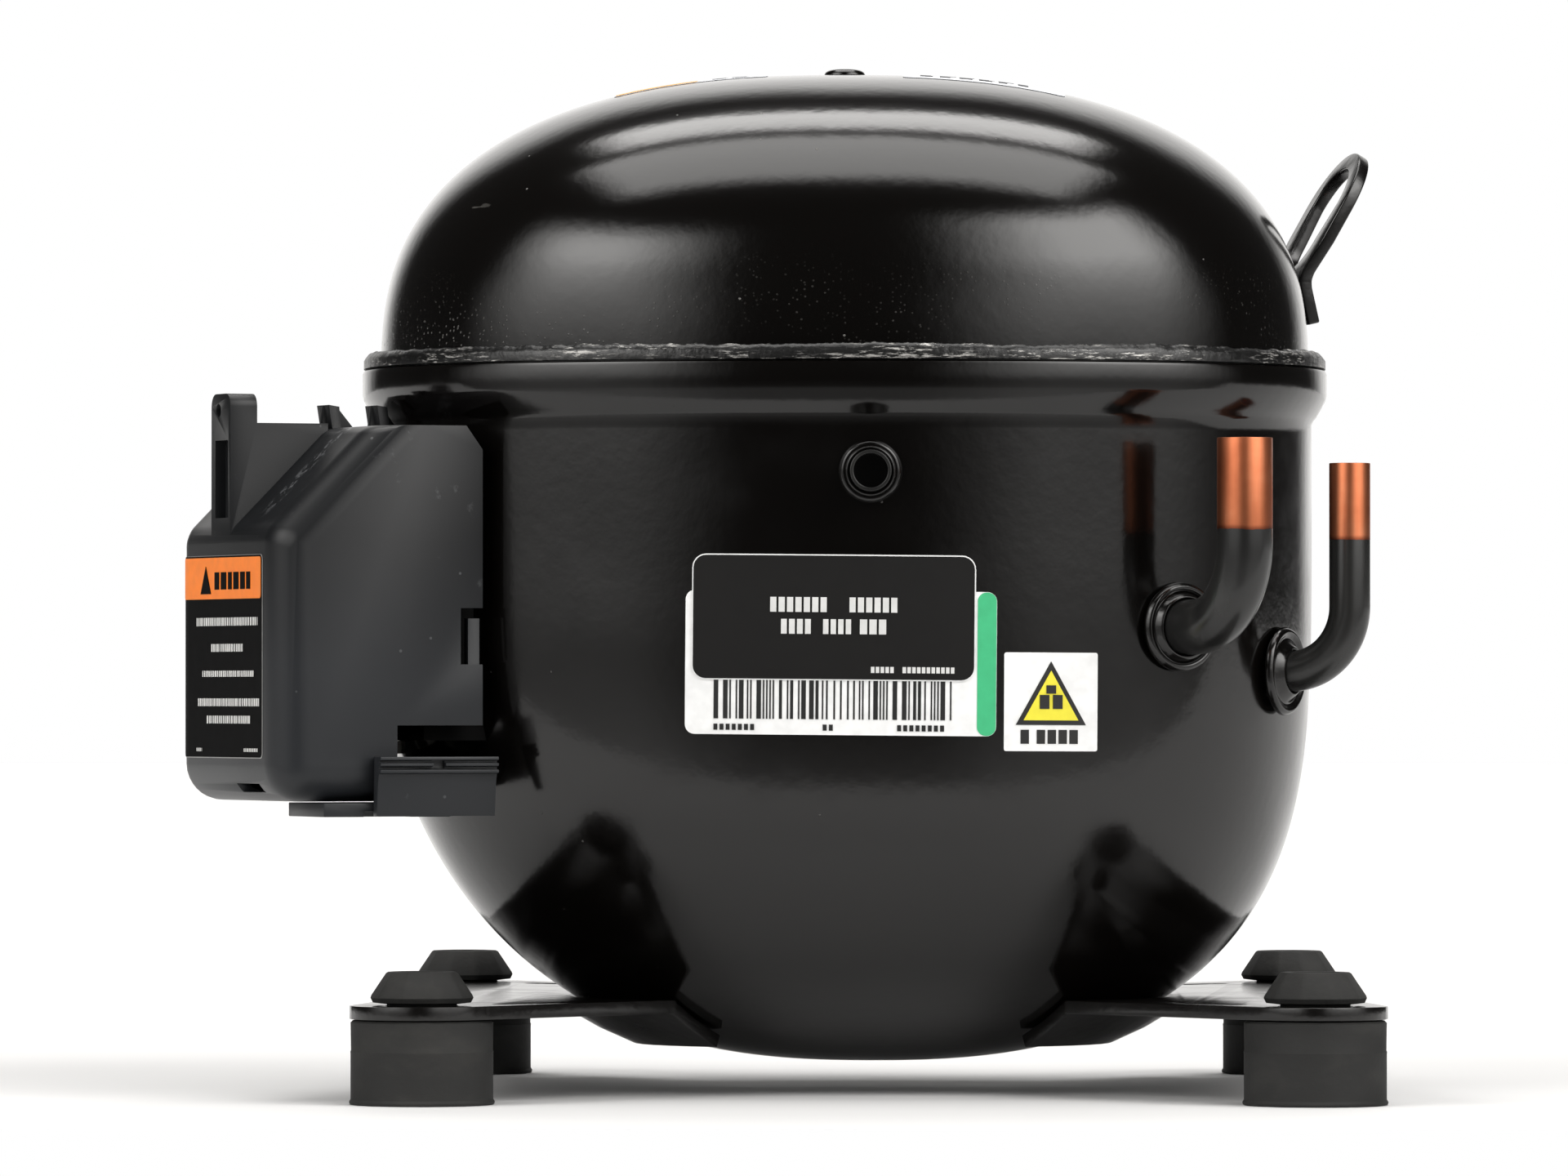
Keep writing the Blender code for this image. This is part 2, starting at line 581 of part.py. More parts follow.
def make_terminal_cover():
    """Moulded cover over the terminals, with its clamp for the supply cable."""
    frame = terminal_frame(COVER_SIDE)
    back, front, half = COVER_BACK, COVER_FRONT, COVER_HALF
    shoulder = COVER_TOP - COVER_CHAMFER
    bm = bmesh.new()
    side = [(back, COVER_FOOT), (front, COVER_FOOT), (front, shoulder),
            (front - COVER_CHAMFER, COVER_TOP), (back, COVER_TOP)]
    face = bm.faces.new([bm.verts.new((x, -half, z)) for x, z in side])
    raised = bmesh.ops.extrude_face_region(bm, geom=[face])["geom"]
    bmesh.ops.translate(bm, vec=(0, 2 * half, 0),
                        verts=[v for v in raised if isinstance(v, bmesh.types.BMVert)])
    bmesh.ops.recalc_face_normals(bm, faces=bm.faces)
    rounded = []
    for edge in bm.edges:
        a, b = edge.verts
        along_v = abs(a.co.y - b.co.y) > 1.0
        outer = max(a.co.x, b.co.x) > back + 1.0
        low = min(a.co.z, b.co.z) < COVER_FOOT + 1.0
        bottom_front = along_v and low and a.co.x > back + 1.0
        top_side = not along_v and min(a.co.z, b.co.z) > COVER_TOP - 1.0
        if bottom_front or (not along_v and outer and not top_side):
            rounded.append(edge)
    bmesh.ops.bevel(bm, geom=rounded, offset=COVER_ROUND, segments=3, profile=0.5,
                    affect="EDGES")
    mouth = [f for f in bm.faces if all(v.co.x < back + 0.01 for v in f.verts)]
    bmesh.ops.delete(bm, geom=mouth, context="FACES_ONLY")
    cover = solid("terminal_cover", bm, "terminal_plastic", frame)
    thick = cover.modifiers.new("wall", "SOLIDIFY")
    thick.thickness = COVER_WALL * MM
    thick.offset = -1.0
    thick.use_even_offset = True

    tab = [(front - 0.5, shoulder - 2.0), (front - 0.5, 162.8), (front - 7.0, 162.8),
           (front - 7.0, 156.6), (front - COVER_CHAMFER, 156.6),
           (front - COVER_CHAMFER, COVER_TOP - 1.2)]
    combine(cover, side_slab("latch_tab", tab, -11.0, 1.9, frame=frame), "UNION")
    for start in (110.5, 122.5):
        fin = [(start, COVER_TOP - 1.0), (start + 9.0, COVER_TOP - 1.0),
               (start + 8.0, COVER_TOP + 5.4), (start + 5.0, COVER_TOP + 5.0)]
        combine(cover, side_slab("hook_fin", fin, -7.5, 0.5, frame=frame), "UNION")
    combine(cover, box("tab_hole", (front - 8.0, -7.7, 157.4), (front + 1.0, -4.7, 160.4),
                       frame=frame))
    combine(cover, box("tab_groove", (front - 3.0, -8.4, 134.0), (front + 1.0, 0.4, 152.0),
                       frame=frame))
    combine(cover, outer_shape(1.6))
    combine(cover, box("cable_window", (back - 5.0, 25.5, 60.0), (126.4, 46.0, 86.0),
                       frame=frame))
    combine(cover, box("latch_notch", (back - 5.0, 29.5, 100.0), (back + 4.2, 46.0, 113.0),
                       frame=frame))
    base = box("cord_clamp_base", (112.8, 9.5, 65.0), (144.0, 32.9, COVER_FOOT - GAP),
               "terminal_plastic", frame, 0.8)

    jaw = [(34.3, 65.2), (37.1, 65.2), (37.9, 75.5), (39.1, 75.5), (39.1, 76.6), (38.0, 76.6),
           (39.1, 77.7), (39.1, 78.8), (34.7, 78.8)]
    clamp_frame = frame @ Matrix.Rotation(math.radians(90), 4, "Z")
    clamp = side_slab("cord_clamp", jaw, -132.4, -103.4, "terminal_plastic", clamp_frame)
    place = frame @ Vector((0.118, 0.0358, 0.0664))
    pivot("cord_clamp_hinge", [clamp], *(place / MM))
    mouth_centre = frame @ Vector((COVER_BACK * MM, 0.0, TERMINAL_HEIGHT * MM))
    pivot("terminal_cover_slide", [cover, base], *(mouth_centre / MM))


# ---------------------------------------------------------------- pump

def make_block(frame):
    """Iron casting: deck on four legs, main bearing and cylinder barrel."""
    deck_foot, deck_top = 124.0, 136.0
    block = box("cylinder_block", (-54.0, -48.0, deck_foot), (54.0, 48.0, deck_top),
                "cast_iron", frame)
    additions = [rod("bearing_boss", 21.0, 111.0, WEB_FOOT - 0.6, frame=frame, sides=32),
                 box("barrel", (BARREL_BACK, -HEAD_HALF, CYLINDER_Z - HEAD_HALF),
                     (BARREL_FACE, HEAD_HALF, CYLINDER_Z + HEAD_HALF), frame=frame),
                 box("pedestal", (BARREL_BACK + 4.0, -20.0, deck_top - 6.0),
                     (BARREL_FACE - 6.0, 20.0, CYLINDER_Z - 20.0), frame=frame)]
    for x_side in (-1, 1):
        for y_side in (-1, 1):
            leg = frame @ at(x_side * 44.0, y_side * 44.0)
            additions.append(rod("leg", 8.0, STATOR_TOP + GAP, deck_foot + 4.0, frame=leg,
                                 sides=12))
    for addition in additions:
        combine(block, addition, "UNION")
    combine(block, rod("bearing_bore", JOURNAL_RADIUS + 0.35, 100.0, 160.0, frame=frame,
                       sides=32))
    level = frame @ at(z=CYLINDER_Z)
    combine(block, rod("cylinder_bore", BORE_RADIUS, 20.0, 80.0, frame=lying_along_x(level),
                       sides=32))
    return block


def make_head(frame, block):
    """Gasket, valve plate with its two reeds, cylinder head and the four bolts."""
    level = frame @ at(z=CYLINDER_Z)
    half = HEAD_HALF
    gasket = box("head_gasket", (68.3, -half, -half), (69.3, half, half), "gasket_fibre", level)
    combine(gasket, rod("gasket_bore", BORE_RADIUS, 60.0, 75.0, frame=lying_along_x(level),
                        sides=24))
    plate = box("valve_plate", (69.6, -half, -half), (73.2, half, half), "spring_steel", level)
    for y in (-7.0, 7.0):
        port = lying_along_x(level @ at(y=y, z=-7.0))
        combine(plate, rod("valve_port", 3.0, 60.0, 80.0, frame=port, sides=12))
    head = box("cylinder_head", (73.5, -half, -half), (91.0, half, half), "aluminium", level, 1.2)
    for low, high in ((-17.0, -1.5), (1.5, 17.0)):
        combine(head, box("plenum", (60.0, low, -17.0), (85.0, high, 17.0), frame=level))
    bolt = [(0.0, 96.0), (4.6, 95.4), (4.6, 91.3), (2.7, 91.3), (2.7, 50.0), (0.0, 49.4)]
    corner = 0
    for y in (-HEAD_BOLT_OFFSET, HEAD_BOLT_OFFSET):
        for z in (-HEAD_BOLT_OFFSET, HEAD_BOLT_OFFSET):
            corner += 1
            axis = lying_along_x(level @ at(y=y, z=z))
            turned(f"head_bolt_{corner}", bolt, "zinc_steel", axis, 10)
            for target in (block, gasket, plate, head):
                combine(target, rod("bolt_hole", 3.1, 48.0, 100.0, frame=axis, sides=12))
    root = 13.0
    suction = box("suction_reed", (68.6, -11.5, -12.0), (69.2, -2.5, root), "spring_steel", level)
    discharge = box("discharge_reed", (73.6, 2.5, -12.0), (74.2, 11.5, root), "spring_steel",
                    level)
    pivot("suction_reed_root", [suction], PUMP_X + 69.2, 0.0, CYLINDER_Z + root)
    pivot("discharge_reed_root", [discharge], PUMP_X + 73.6, 0.0, CYLINDER_Z + root)


def make_crank(frame):
    """Crankshaft with its counterweight, oil pickup, rotor and the yoke drive."""
    shaft = [(0.0, WEB_FOOT + 0.6), (JOURNAL_RADIUS, WEB_FOOT + 0.6), (JOURNAL_RADIUS, 110.5),
             (SHAFT_RADIUS, 109.5), (SHAFT_RADIUS, 34.0), (5.4, 34.0), (5.4, 56.0), (0.0, 56.0)]
    crank = turned("crankshaft", shaft, "cast_iron", frame, 24)
    web = (arc(0.0, 0.0, 27.0, 125, 235, 8) + arc(CRANK_THROW, 0.0, 13.0, -70, 70, 6))
    combine(crank, slab("crank_web", web, WEB_FOOT, WEB_TOP, frame=frame), "UNION")
    pin_frame = frame @ at(CRANK_THROW)
    combine(crank, rod("crank_pin", PIN_RADIUS, WEB_TOP - 2.0, PIN_TOP, frame=pin_frame),
            "UNION")
    pickup = [(5.0, 50.0), (5.0, 24.0), (2.5, 15.0), (1.6, 15.0), (3.9, 25.0), (3.9, 50.0)]
    oil = turned("oil_pickup", pickup, "spring_steel", frame, 12)
    rotor = turned("rotor_core", [(SHAFT_RADIUS + GAP, STATOR_TOP), (ROTOR_RADIUS, STATOR_TOP),
                                  (ROTOR_RADIUS, STATOR_FOOT), (SHAFT_RADIUS + GAP, STATOR_FOOT)],
                   "lamination", frame, 32)
    pieces = [crank, oil, rotor]
    for name, foot in (("upper", STATOR_TOP + GAP), ("lower", STATOR_FOOT - GAP - 5.0)):
        ring = [(20.0, foot + 5.0), (ROTOR_RADIUS - 0.8, foot + 5.0), (ROTOR_RADIUS - 0.8, foot),
                (20.0, foot)]
        pieces.append(turned(f"rotor_end_ring_{name}", ring, "aluminium", frame, 24))
    pivot("crank_axis", pieces, PUMP_X, 0.0, CYLINDER_Z)

    length, width, height = SLIDER
    level = frame @ at(CRANK_THROW, 0.0, CYLINDER_Z)
    slider = box("slider_block", (-length / 2, -width / 2, -height / 2),
                 (length / 2, width / 2, height / 2), "spring_steel", level, 1.0)
    combine(slider, rod("slider_bore", PIN_RADIUS + 0.35, -20.0, 20.0, frame=level))
    pivot("crank_pin_axis", [slider], PUMP_X + CRANK_THROW, 0.0, CYLINDER_Z)
    seat = PIN_TOP + GAP
    plug = turned("gallery_plug", [(0.0, seat + 2.2), (3.2, seat + 2.2), (3.6, seat + 1.6),
                                   (3.6, seat), (0.0, seat)], "zinc_steel",
                  frame @ at(CRANK_THROW / 2), 16)
    pivot("gallery_plug_axis", [plug], PUMP_X + CRANK_THROW / 2, 0.0, seat)

    slot_x, slot_y = length / 2 + 0.4, width / 2 + CRANK_THROW + 1.0
    wall, half_height = 6.0, height / 2 + 0.5
    yoke = box("yoke_piston", (-slot_x - wall, -slot_y - wall, -half_height),
               (slot_x + wall, slot_y + wall, half_height), "cast_iron", level)
    combine(yoke, box("yoke_slot", (-slot_x, -slot_y, -20.0), (slot_x, slot_y, 20.0),
                      frame=level))
    along = lying_along_x(frame @ at(z=CYLINDER_Z))
    combine(yoke, rod("piston_neck", 8.0, CRANK_THROW + slot_x + 3.0, 50.0, frame=along,
                      sides=16), "UNION")
    skirt_foot = CROWN_AT_REST - 28.0
    combine(yoke, rod("piston", PISTON_RADIUS, skirt_foot, CROWN_AT_REST, frame=along,
                      sides=32), "UNION")
    pivot("yoke_axis", [yoke], PUMP_X + CRANK_THROW, 0.0, CYLINDER_Z)


def make_motor(frame):
    """Stator stack with its slots, and the end turns of the windings."""
    half, cut = STATOR_HALF, 16.0
    outline = [(half, half - cut), (half - cut, half), (cut - half, half), (-half, half - cut),
               (-half, cut - half), (cut - half, -half), (half - cut, -half), (half, cut - half)]
    stator = slab("stator_core", outline, STATOR_FOOT, STATOR_TOP, "lamination", frame)
    slots, mouth, root = 16, 3.0, 9.0
    teeth = []
    for i in range(slots):
        middle = 360.0 * i / slots
        teeth += arc(0.0, 0.0, STATOR_BORE, middle - 360 / slots / 2 + 4.0, middle - mouth, 1)
        teeth += arc(0.0, 0.0, 46.0, middle - root + 2.0, middle + root - 2.0, 2)
        teeth += arc(0.0, 0.0, STATOR_BORE, middle + mouth, middle + 360 / slots / 2 - 4.0, 1)
    combine(stator, slab("stator_bore", teeth, STATOR_FOOT - 5.0, STATOR_TOP + 5.0, frame=frame))
    for name, foot, top in (("upper", STATOR_TOP + GAP, STATOR_TOP + 12.0),
                            ("lower", STATOR_FOOT - 12.0, STATOR_FOOT - GAP)):
        ring = [(36.0, top - 2.0), (38.0, top), (44.0, top), (46.5, top - 2.5),
                (46.5, foot + 2.5), (44.0, foot), (38.0, foot), (36.0, foot + 2.0)]
        turned(f"winding_{name}", ring, "winding", frame, 28)


def make_suspension(frame):
    """Four coil springs under the stator and the welded seats they stand on."""
    cavity = inner_shape()
    coil, wire_radius, turns = 8.0, 1.1, 4.0
    foot, top = SPRING_FOOT + GAP + wire_radius, STATOR_FOOT - GAP - wire_radius
    steps = 8
    count = int(turns * steps)
    for x_name, x_side in (("left", -1), ("right", 1)):
        for y_name, y_side in (("front", -1), ("rear", 1)):
            place = frame @ at(x_side * SPRING_X, y_side * SPRING_Y)
            name = f"{y_name}_{x_name}"
            points = []
            for i in range(count + 1):
                angle = math.tau * i / steps
                ease = min(max((i - steps / 2) / (count - steps), 0.0), 1.0)
                flat = 0.4 * i / count
                z = foot + (top - foot) * (0.12 * flat + (1.0 - 0.12 * 0.4) * ease)
                points.append((coil * math.cos(angle), coil * math.sin(angle), z))
            wire(f"suspension_spring_{name}", points, wire_radius, "spring_steel", place, 1)
            seat = turned(f"spring_seat_{name}",
                          [(0.0, SPRING_FOOT + 6.0), (4.6, SPRING_FOOT + 6.0),
                           (5.6, SPRING_FOOT + 4.5), (5.6, SPRING_FOOT),
                           (10.5, SPRING_FOOT), (10.5, 12.0), (0.0, 12.0)],
                          "bracket_paint", place, 16)
            combine(seat, cavity, "INTERSECT")


def make_mufflers(frame):
    """Suction muffler beside the head, and the looped tube that carries the gas out."""
    muffler = box("suction_muffler", (52.0, HEAD_HALF + 3.0, 152.0), (84.0, 51.0, 190.0),
                  "muffler_plastic", frame, 4.0)
    neck = lying_along_x(frame @ at(80.0, HEAD_HALF, CYLINDER_Z - 6.0, 90.0))
    combine(muffler, rod("muffler_neck", 3.6, GAP, 8.0, frame=neck, sides=14), "UNION")
    start = Vector((82.0, -10.0, CYLINDER_Z - HEAD_HALF - GAP))
    port = port_frame(DISCHARGE)
    inner = (frame.inverted() @ port @ Vector((-(TUBE_INSIDE + GAP) * MM, 0.0, 0.0))) / MM
    back = (port.to_3x3() @ Vector((-1.0, 0.0, 0.0)))
    knots = [start, start + Vector((0, 0, -8.0)), start + Vector((0.5, -6.0, -17.0)),
             Vector((80.0, -30.0, 118.0)), Vector((72.0, -44.0, 108.0)),
             inner + back * 9.0 + Vector((0, 0, 1.0)), inner]
    points = []
    for i in range(len(knots) - 1):
        before = knots[max(i - 1, 0)]
        after = knots[min(i + 2, len(knots) - 1)]
        for step in range(4):
            t = step / 4
            a, b = knots[i], knots[i + 1]
            m0, m1 = (b - before) / 2, (after - a) / 2
            points.append((2 * t ** 3 - 3 * t ** 2 + 1) * a + (t ** 3 - 2 * t ** 2 + t) * m0
                          + (-2 * t ** 3 + 3 * t ** 2) * b + (t ** 3 - t ** 2) * m1)
    wire("discharge_shock_tube", points + [knots[-1]], 3.0, "copper", frame)


def build():
    """Make every piece of the compressor."""
    make_shells()
    make_lifting_eye()
    make_base_plate("base_plate_left", -1)
    make_base_plate("base_plate_right", 1)
    make_feet()
    make_tubes()
    make_terminals()
    make_terminal_cover()
    frame = at(PUMP_X)
    block = make_block(frame)
    make_head(frame, block)
    make_crank(frame)
    make_motor(frame)
    make_suspension(frame)
    make_mufflers(frame)
    bpy.context.view_layer.update()


build()
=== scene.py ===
"""Looks of a hermetic reciprocating compressor: enamelled shell, copper stubs, cover and feet.

Lengths inside the classes are in millimetres and become metres as each mesh is placed.
"""

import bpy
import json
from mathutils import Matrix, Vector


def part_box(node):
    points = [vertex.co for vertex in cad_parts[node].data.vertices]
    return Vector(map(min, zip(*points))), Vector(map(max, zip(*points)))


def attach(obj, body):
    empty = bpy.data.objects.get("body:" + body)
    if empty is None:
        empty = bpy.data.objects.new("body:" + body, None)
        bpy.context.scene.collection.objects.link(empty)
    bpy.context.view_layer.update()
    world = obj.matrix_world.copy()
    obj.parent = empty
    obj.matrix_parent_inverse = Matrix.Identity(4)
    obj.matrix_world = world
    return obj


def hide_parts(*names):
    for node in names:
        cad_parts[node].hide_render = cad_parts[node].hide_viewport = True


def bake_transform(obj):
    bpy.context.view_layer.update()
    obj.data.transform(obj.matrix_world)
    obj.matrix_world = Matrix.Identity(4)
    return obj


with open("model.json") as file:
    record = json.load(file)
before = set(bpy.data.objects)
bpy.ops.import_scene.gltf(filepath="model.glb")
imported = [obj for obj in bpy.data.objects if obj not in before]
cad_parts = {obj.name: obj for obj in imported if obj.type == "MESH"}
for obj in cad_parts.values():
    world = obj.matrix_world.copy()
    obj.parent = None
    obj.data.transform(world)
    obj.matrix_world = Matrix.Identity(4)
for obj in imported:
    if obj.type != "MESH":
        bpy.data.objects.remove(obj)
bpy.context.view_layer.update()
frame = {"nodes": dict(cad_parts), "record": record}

import json
import logging
import math
import random
from dataclasses import dataclass
from enum import Enum
from typing import Callable, Iterable, Sequence

import bpy
from mathutils import Matrix, Vector

MM = 0.001
FILM = 0.1  # thickness of a printed film
Point = tuple[float, float, float]
Pair = tuple[float, float]
Colour = tuple[float, float, float]
log = logging.getLogger("compressor")


# ------------------------------------------------------------------ shader graph

class Value:
    """A number on a shader socket that takes part in arithmetic."""

    def __init__(self, graph: "Graph", socket: bpy.types.NodeSocket) -> None:
        """Keep the socket and the graph it belongs to."""
        self.graph = graph
        self.socket = socket

    def __add__(self, other: "Value | float") -> "Value":
        """Sum."""
        return self.graph.math("ADD", self, other)

    def __radd__(self, other: float) -> "Value":
        """Sum with a number on the left."""
        return self.graph.math("ADD", other, self)

    def __sub__(self, other: "Value | float") -> "Value":
        """Difference."""
        return self.graph.math("SUBTRACT", self, other)

    def __rsub__(self, other: float) -> "Value":
        """Difference from a number on the left."""
        return self.graph.math("SUBTRACT", other, self)

    def __mul__(self, other: "Value | float") -> "Value":
        """Product."""
        return self.graph.math("MULTIPLY", self, other)

    def __rmul__(self, other: float) -> "Value":
        """Product with a number on the left."""
        return self.graph.math("MULTIPLY", other, self)

    def __gt__(self, other: "Value | float") -> "Value":
        """One where this is the larger, else zero."""
        return self.graph.math("GREATER_THAN", self, other)

    def smooth(self, low: float, high: float) -> "Value":
        """Soft step from 0 at low to 1 at high.

        Args:
            low: where the step starts.
            high: where it ends.

        Returns:
            The stepped value.
        """
        node = self.graph.node("ShaderNodeMapRange", {"interpolation_type": "SMOOTHSTEP"},
                               {"Value": self, "From Min": low, "From Max": high})
        return Value(self.graph, node.outputs["Result"])


class Graph:
    """Node graph of one material or world."""

    def __init__(self, tree: bpy.types.NodeTree) -> None:
        """Start from an empty tree.

        Args:
            tree: the node tree to fill.
        """
        self.tree = tree
        tree.nodes.clear()

    def node(self, kind: str, settings: dict | None = None,
             inputs: dict | None = None) -> bpy.types.Node:
        """Add any node, set it up and feed its sockets.

        Args:
            kind: the node's type name.
            settings: attributes set before the sockets are fed.
            inputs: values, sockets or Values by socket name or index.

        Returns:
            The new node.
        """
        node = self.tree.nodes.new(kind)
        for key, value in (settings or {}).items():
            setattr(node, key, value)
        for key, value in (inputs or {}).items():
            if isinstance(value, Value):
                value = value.socket
            if isinstance(value, bpy.types.NodeSocket):
                self.tree.links.new(value, node.inputs[key])
            else:
                node.inputs[key].default_value = value
        return node

    def math(self, operation: str, *terms: "Value | float") -> Value:
        """Add a Math node on values and numbers."""
        node = self.node("ShaderNodeMath", {"operation": operation}, dict(enumerate(terms)))
        return Value(self, node.outputs[0])

    def place(self, scale: Point = (1.0, 1.0, 1.0)) -> bpy.types.NodeSocket:
        """Object coordinates, stretched by a scale.

        Args:
            scale: stretch along each axis.

        Returns:
            The coordinates' socket.
        """
        source = self.node("ShaderNodeTexCoord").outputs["Object"]
        mapping = self.node("ShaderNodeMapping", None, {"Vector": source, "Scale": scale})
        return mapping.outputs["Vector"]

    def axis(self, name: str) -> Value:
        """One object coordinate in metres, by its letter."""
        parts = self.node("ShaderNodeSeparateXYZ", None, {"Vector": self.place()})
        return Value(self, parts.outputs[name])

    def noise(self, scale: float, detail: float = 3.0, stretch: Point = (1.0, 1.0, 1.0),
              rough: float = 0.5) -> Value:
        """Noise on object coordinates; scale is in cells per metre.

        Args:
            scale: cells per metre.
            detail: octaves.
            stretch: stretch along each axis.
            rough: strength of the finer octaves.

        Returns:
            The noise, about 0 to 1.
        """
        node = self.node("ShaderNodeTexNoise", None, {
            "Vector": self.place(stretch), "Scale": scale, "Detail": detail,
            "Roughness": rough})
        return Value(self, node.outputs["Fac"])

    def specks(self, scale: float, size: float, share: float) -> Value:
        """Scattered round specks.

        Args:
            scale: cells per metre.
            size: speck radius as a share of a cell.
            share: share of the cells that hold a speck.

        Returns:
            One inside a speck and zero elsewhere.
        """
        node = self.node("ShaderNodeTexVoronoi", None, {"Vector": self.place(), "Scale": scale})
        distance = Value(self, node.outputs["Distance"])
        tint = self.node("ShaderNodeSeparateColor", None, {"Color": node.outputs["Color"]})
        chosen = Value(self, tint.outputs[0]) > 1.0 - share
        return (1.0 - distance.smooth(size * 0.5, size)) * chosen

    def ramp(self, value: Value, stops: Sequence[tuple[float, Colour]]) -> bpy.types.NodeSocket:
        """Colour ramp over a value.

        Args:
            value: what the ramp reads.
            stops: places and colours in order.

        Returns:
            The colour's socket.
        """
        node = self.node("ShaderNodeValToRGB", None, {"Fac": value})
        elements = node.color_ramp.elements
        while len(elements) < len(stops):
            elements.new(0.5)
        for element, (place, colour) in zip(elements, stops):
            element.position = place
            element.color = (*colour, 1.0)
        return node.outputs["Color"]

    def mix(self, factor: Value, first: "bpy.types.NodeSocket | Colour",
            second: "bpy.types.NodeSocket | Colour") -> bpy.types.NodeSocket:
        """Blend two colours.

        Args:
            factor: share of the second colour.
            first: colour or socket at 0.
            second: colour or socket at 1.

        Returns:
            The blended colour's socket.
        """
        node = self.node("ShaderNodeMix", {"data_type": "RGBA"})
        self.tree.links.new(factor.socket, node.inputs[0])
        for slot, colour in ((6, first), (7, second)):
            if isinstance(colour, bpy.types.NodeSocket):
                self.tree.links.new(colour, node.inputs[slot])
            else:
                node.inputs[slot].default_value = (*colour, 1.0)
        return node.outputs[2]

    def bump(self, height: Value, strength: float, depth: float,
             below: bpy.types.NodeSocket | None = None) -> bpy.types.NodeSocket:
        """Relief in metres from a height value, over another relief if given.

        Args:
            height: the relief, about 0 to 1.
            strength: how much of it is felt.
            depth: its depth in metres.
            below: another relief that it lies on.

        Returns:
            The normal's socket.
        """
        inputs = {"Height": height, "Strength": strength, "Distance": depth}
        if below is not None:
            inputs["Normal"] = below
        return self.node("ShaderNodeBump", None, inputs).outputs["Normal"]


def new_material(name: str, **principled: object) -> tuple[bpy.types.Material, Graph,
                                                          Callable[..., None]]:
    """Make a material with a Principled shader.

    Args:
        name: the material's name.
        principled: constants for the shader, by socket name with underscores.

    Returns:
        The material, its graph, and a function that feeds more of the shader's sockets.
    """
    material = bpy.data.materials.new(name)
    material.use_nodes = True
    graph = Graph(material.node_tree)
    shader = graph.node("ShaderNodeBsdfPrincipled")
    output = graph.node("ShaderNodeOutputMaterial", None, {"Surface": shader.outputs["BSDF"]})
    output.is_active_output = True

    def feed(**sockets: object) -> None:
        """Set or link sockets of the shader.

        Args:
            sockets: values, colours or sockets by name, with underscores.
        """
        for key, value in sockets.items():
            socket = shader.inputs[key.replace("_", " ")]
            if isinstance(value, Value):
                value = value.socket
            if isinstance(value, bpy.types.NodeSocket):
                material.node_tree.links.new(value, socket)
            elif isinstance(value, tuple):
                socket.default_value = (*value, 1.0)
            else:
                socket.default_value = value

    feed(**principled)
    return material, graph, feed


# ------------------------------------------------------------------ finishes

@dataclass(frozen=True)
class Enamel:
    """Stoved gloss black enamel on steel."""

    name: str
    colour: Colour = (0.0015, 0.0012, 0.0010)
    gloss_roughness: float = 0.13
    peel_depth: float = 0.00003
    dust: float = 0.0

    def material(self) -> bpy.types.Material:
        """Black paint with orange peel, thin haze and a few dust nibs.

        Returns:
            The enamel.
        """
        material, graph, feed = new_material(self.name, IOR=1.52)
        haze = graph.noise(9.0, 4.0)
        cloud = graph.noise(45.0, 3.0)
        nibs = graph.specks(420.0, 0.13, 0.006 + self.dust * 0.1)
        base = graph.ramp(haze, [(0.3, self.colour), (0.7, tuple(c * 1.5 for c in self.colour))])
        base = graph.mix(nibs, base, (0.04, 0.038, 0.035))
        peel = graph.noise(330.0, 2.0)
        waves = graph.noise(26.0, 1.0)
        normal = graph.bump(waves, 1.0, 0.00022)
        normal = graph.bump(peel, 1.0, self.peel_depth, normal)
        normal = graph.bump(nibs, 1.0, 0.00012, normal)
        feed(Base_Color=base, Normal=normal,
             Roughness=self.gloss_roughness + 0.09 * cloud.smooth(0.45, 0.8) + 0.2 * nibs)
        return material


@dataclass(frozen=True)
class DomeEnamel(Enamel):
    """Enamel with dust gathered just above the seam and a few handling scratches."""

    seam_height: float = 0.17
    band: float = 0.024

    def material(self) -> bpy.types.Material:
        """Gloss black with overspray dust that thins out up the dome.

        Returns:
            The enamel.
        """
        material, graph, feed = new_material(self.name, IOR=1.52)
        height = graph.axis("Z")
        near_seam = 1.0 - height.smooth(self.seam_height, self.seam_height + self.band)
        patches = graph.noise(22.0, 3.0).smooth(0.4, 0.75)
        fine = graph.specks(1100.0, 0.33, 0.34) * near_seam * patches
        coarse = graph.specks(460.0, 0.15, 0.012)
        dust = graph.math("MAXIMUM", fine * 0.9, coarse * 0.9)
        strokes = graph.noise(60.0, 2.0, (1.0, 1.0, 6.0)).smooth(0.735, 0.76)
        scratches = strokes * graph.noise(14.0, 1.0).smooth(0.55, 0.65)
        marks = graph.math("MAXIMUM", dust, scratches * 0.5)
        haze = graph.noise(9.0, 4.0)
        base = graph.ramp(haze, [(0.3, self.colour), (0.7, tuple(c * 1.5 for c in self.colour))])
        base = graph.mix(marks, base, (0.13, 0.125, 0.115))
        normal = graph.bump(graph.noise(26.0, 1.0), 1.0, 0.00022)
        normal = graph.bump(graph.noise(330.0, 2.0), 1.0, self.peel_depth, normal)
        normal = graph.bump(marks, 1.0, 0.00007, normal)
        feed(Base_Color=base, Normal=normal,
             Roughness=self.gloss_roughness + 0.25 * marks + 0.05 * patches * near_seam)
        return material


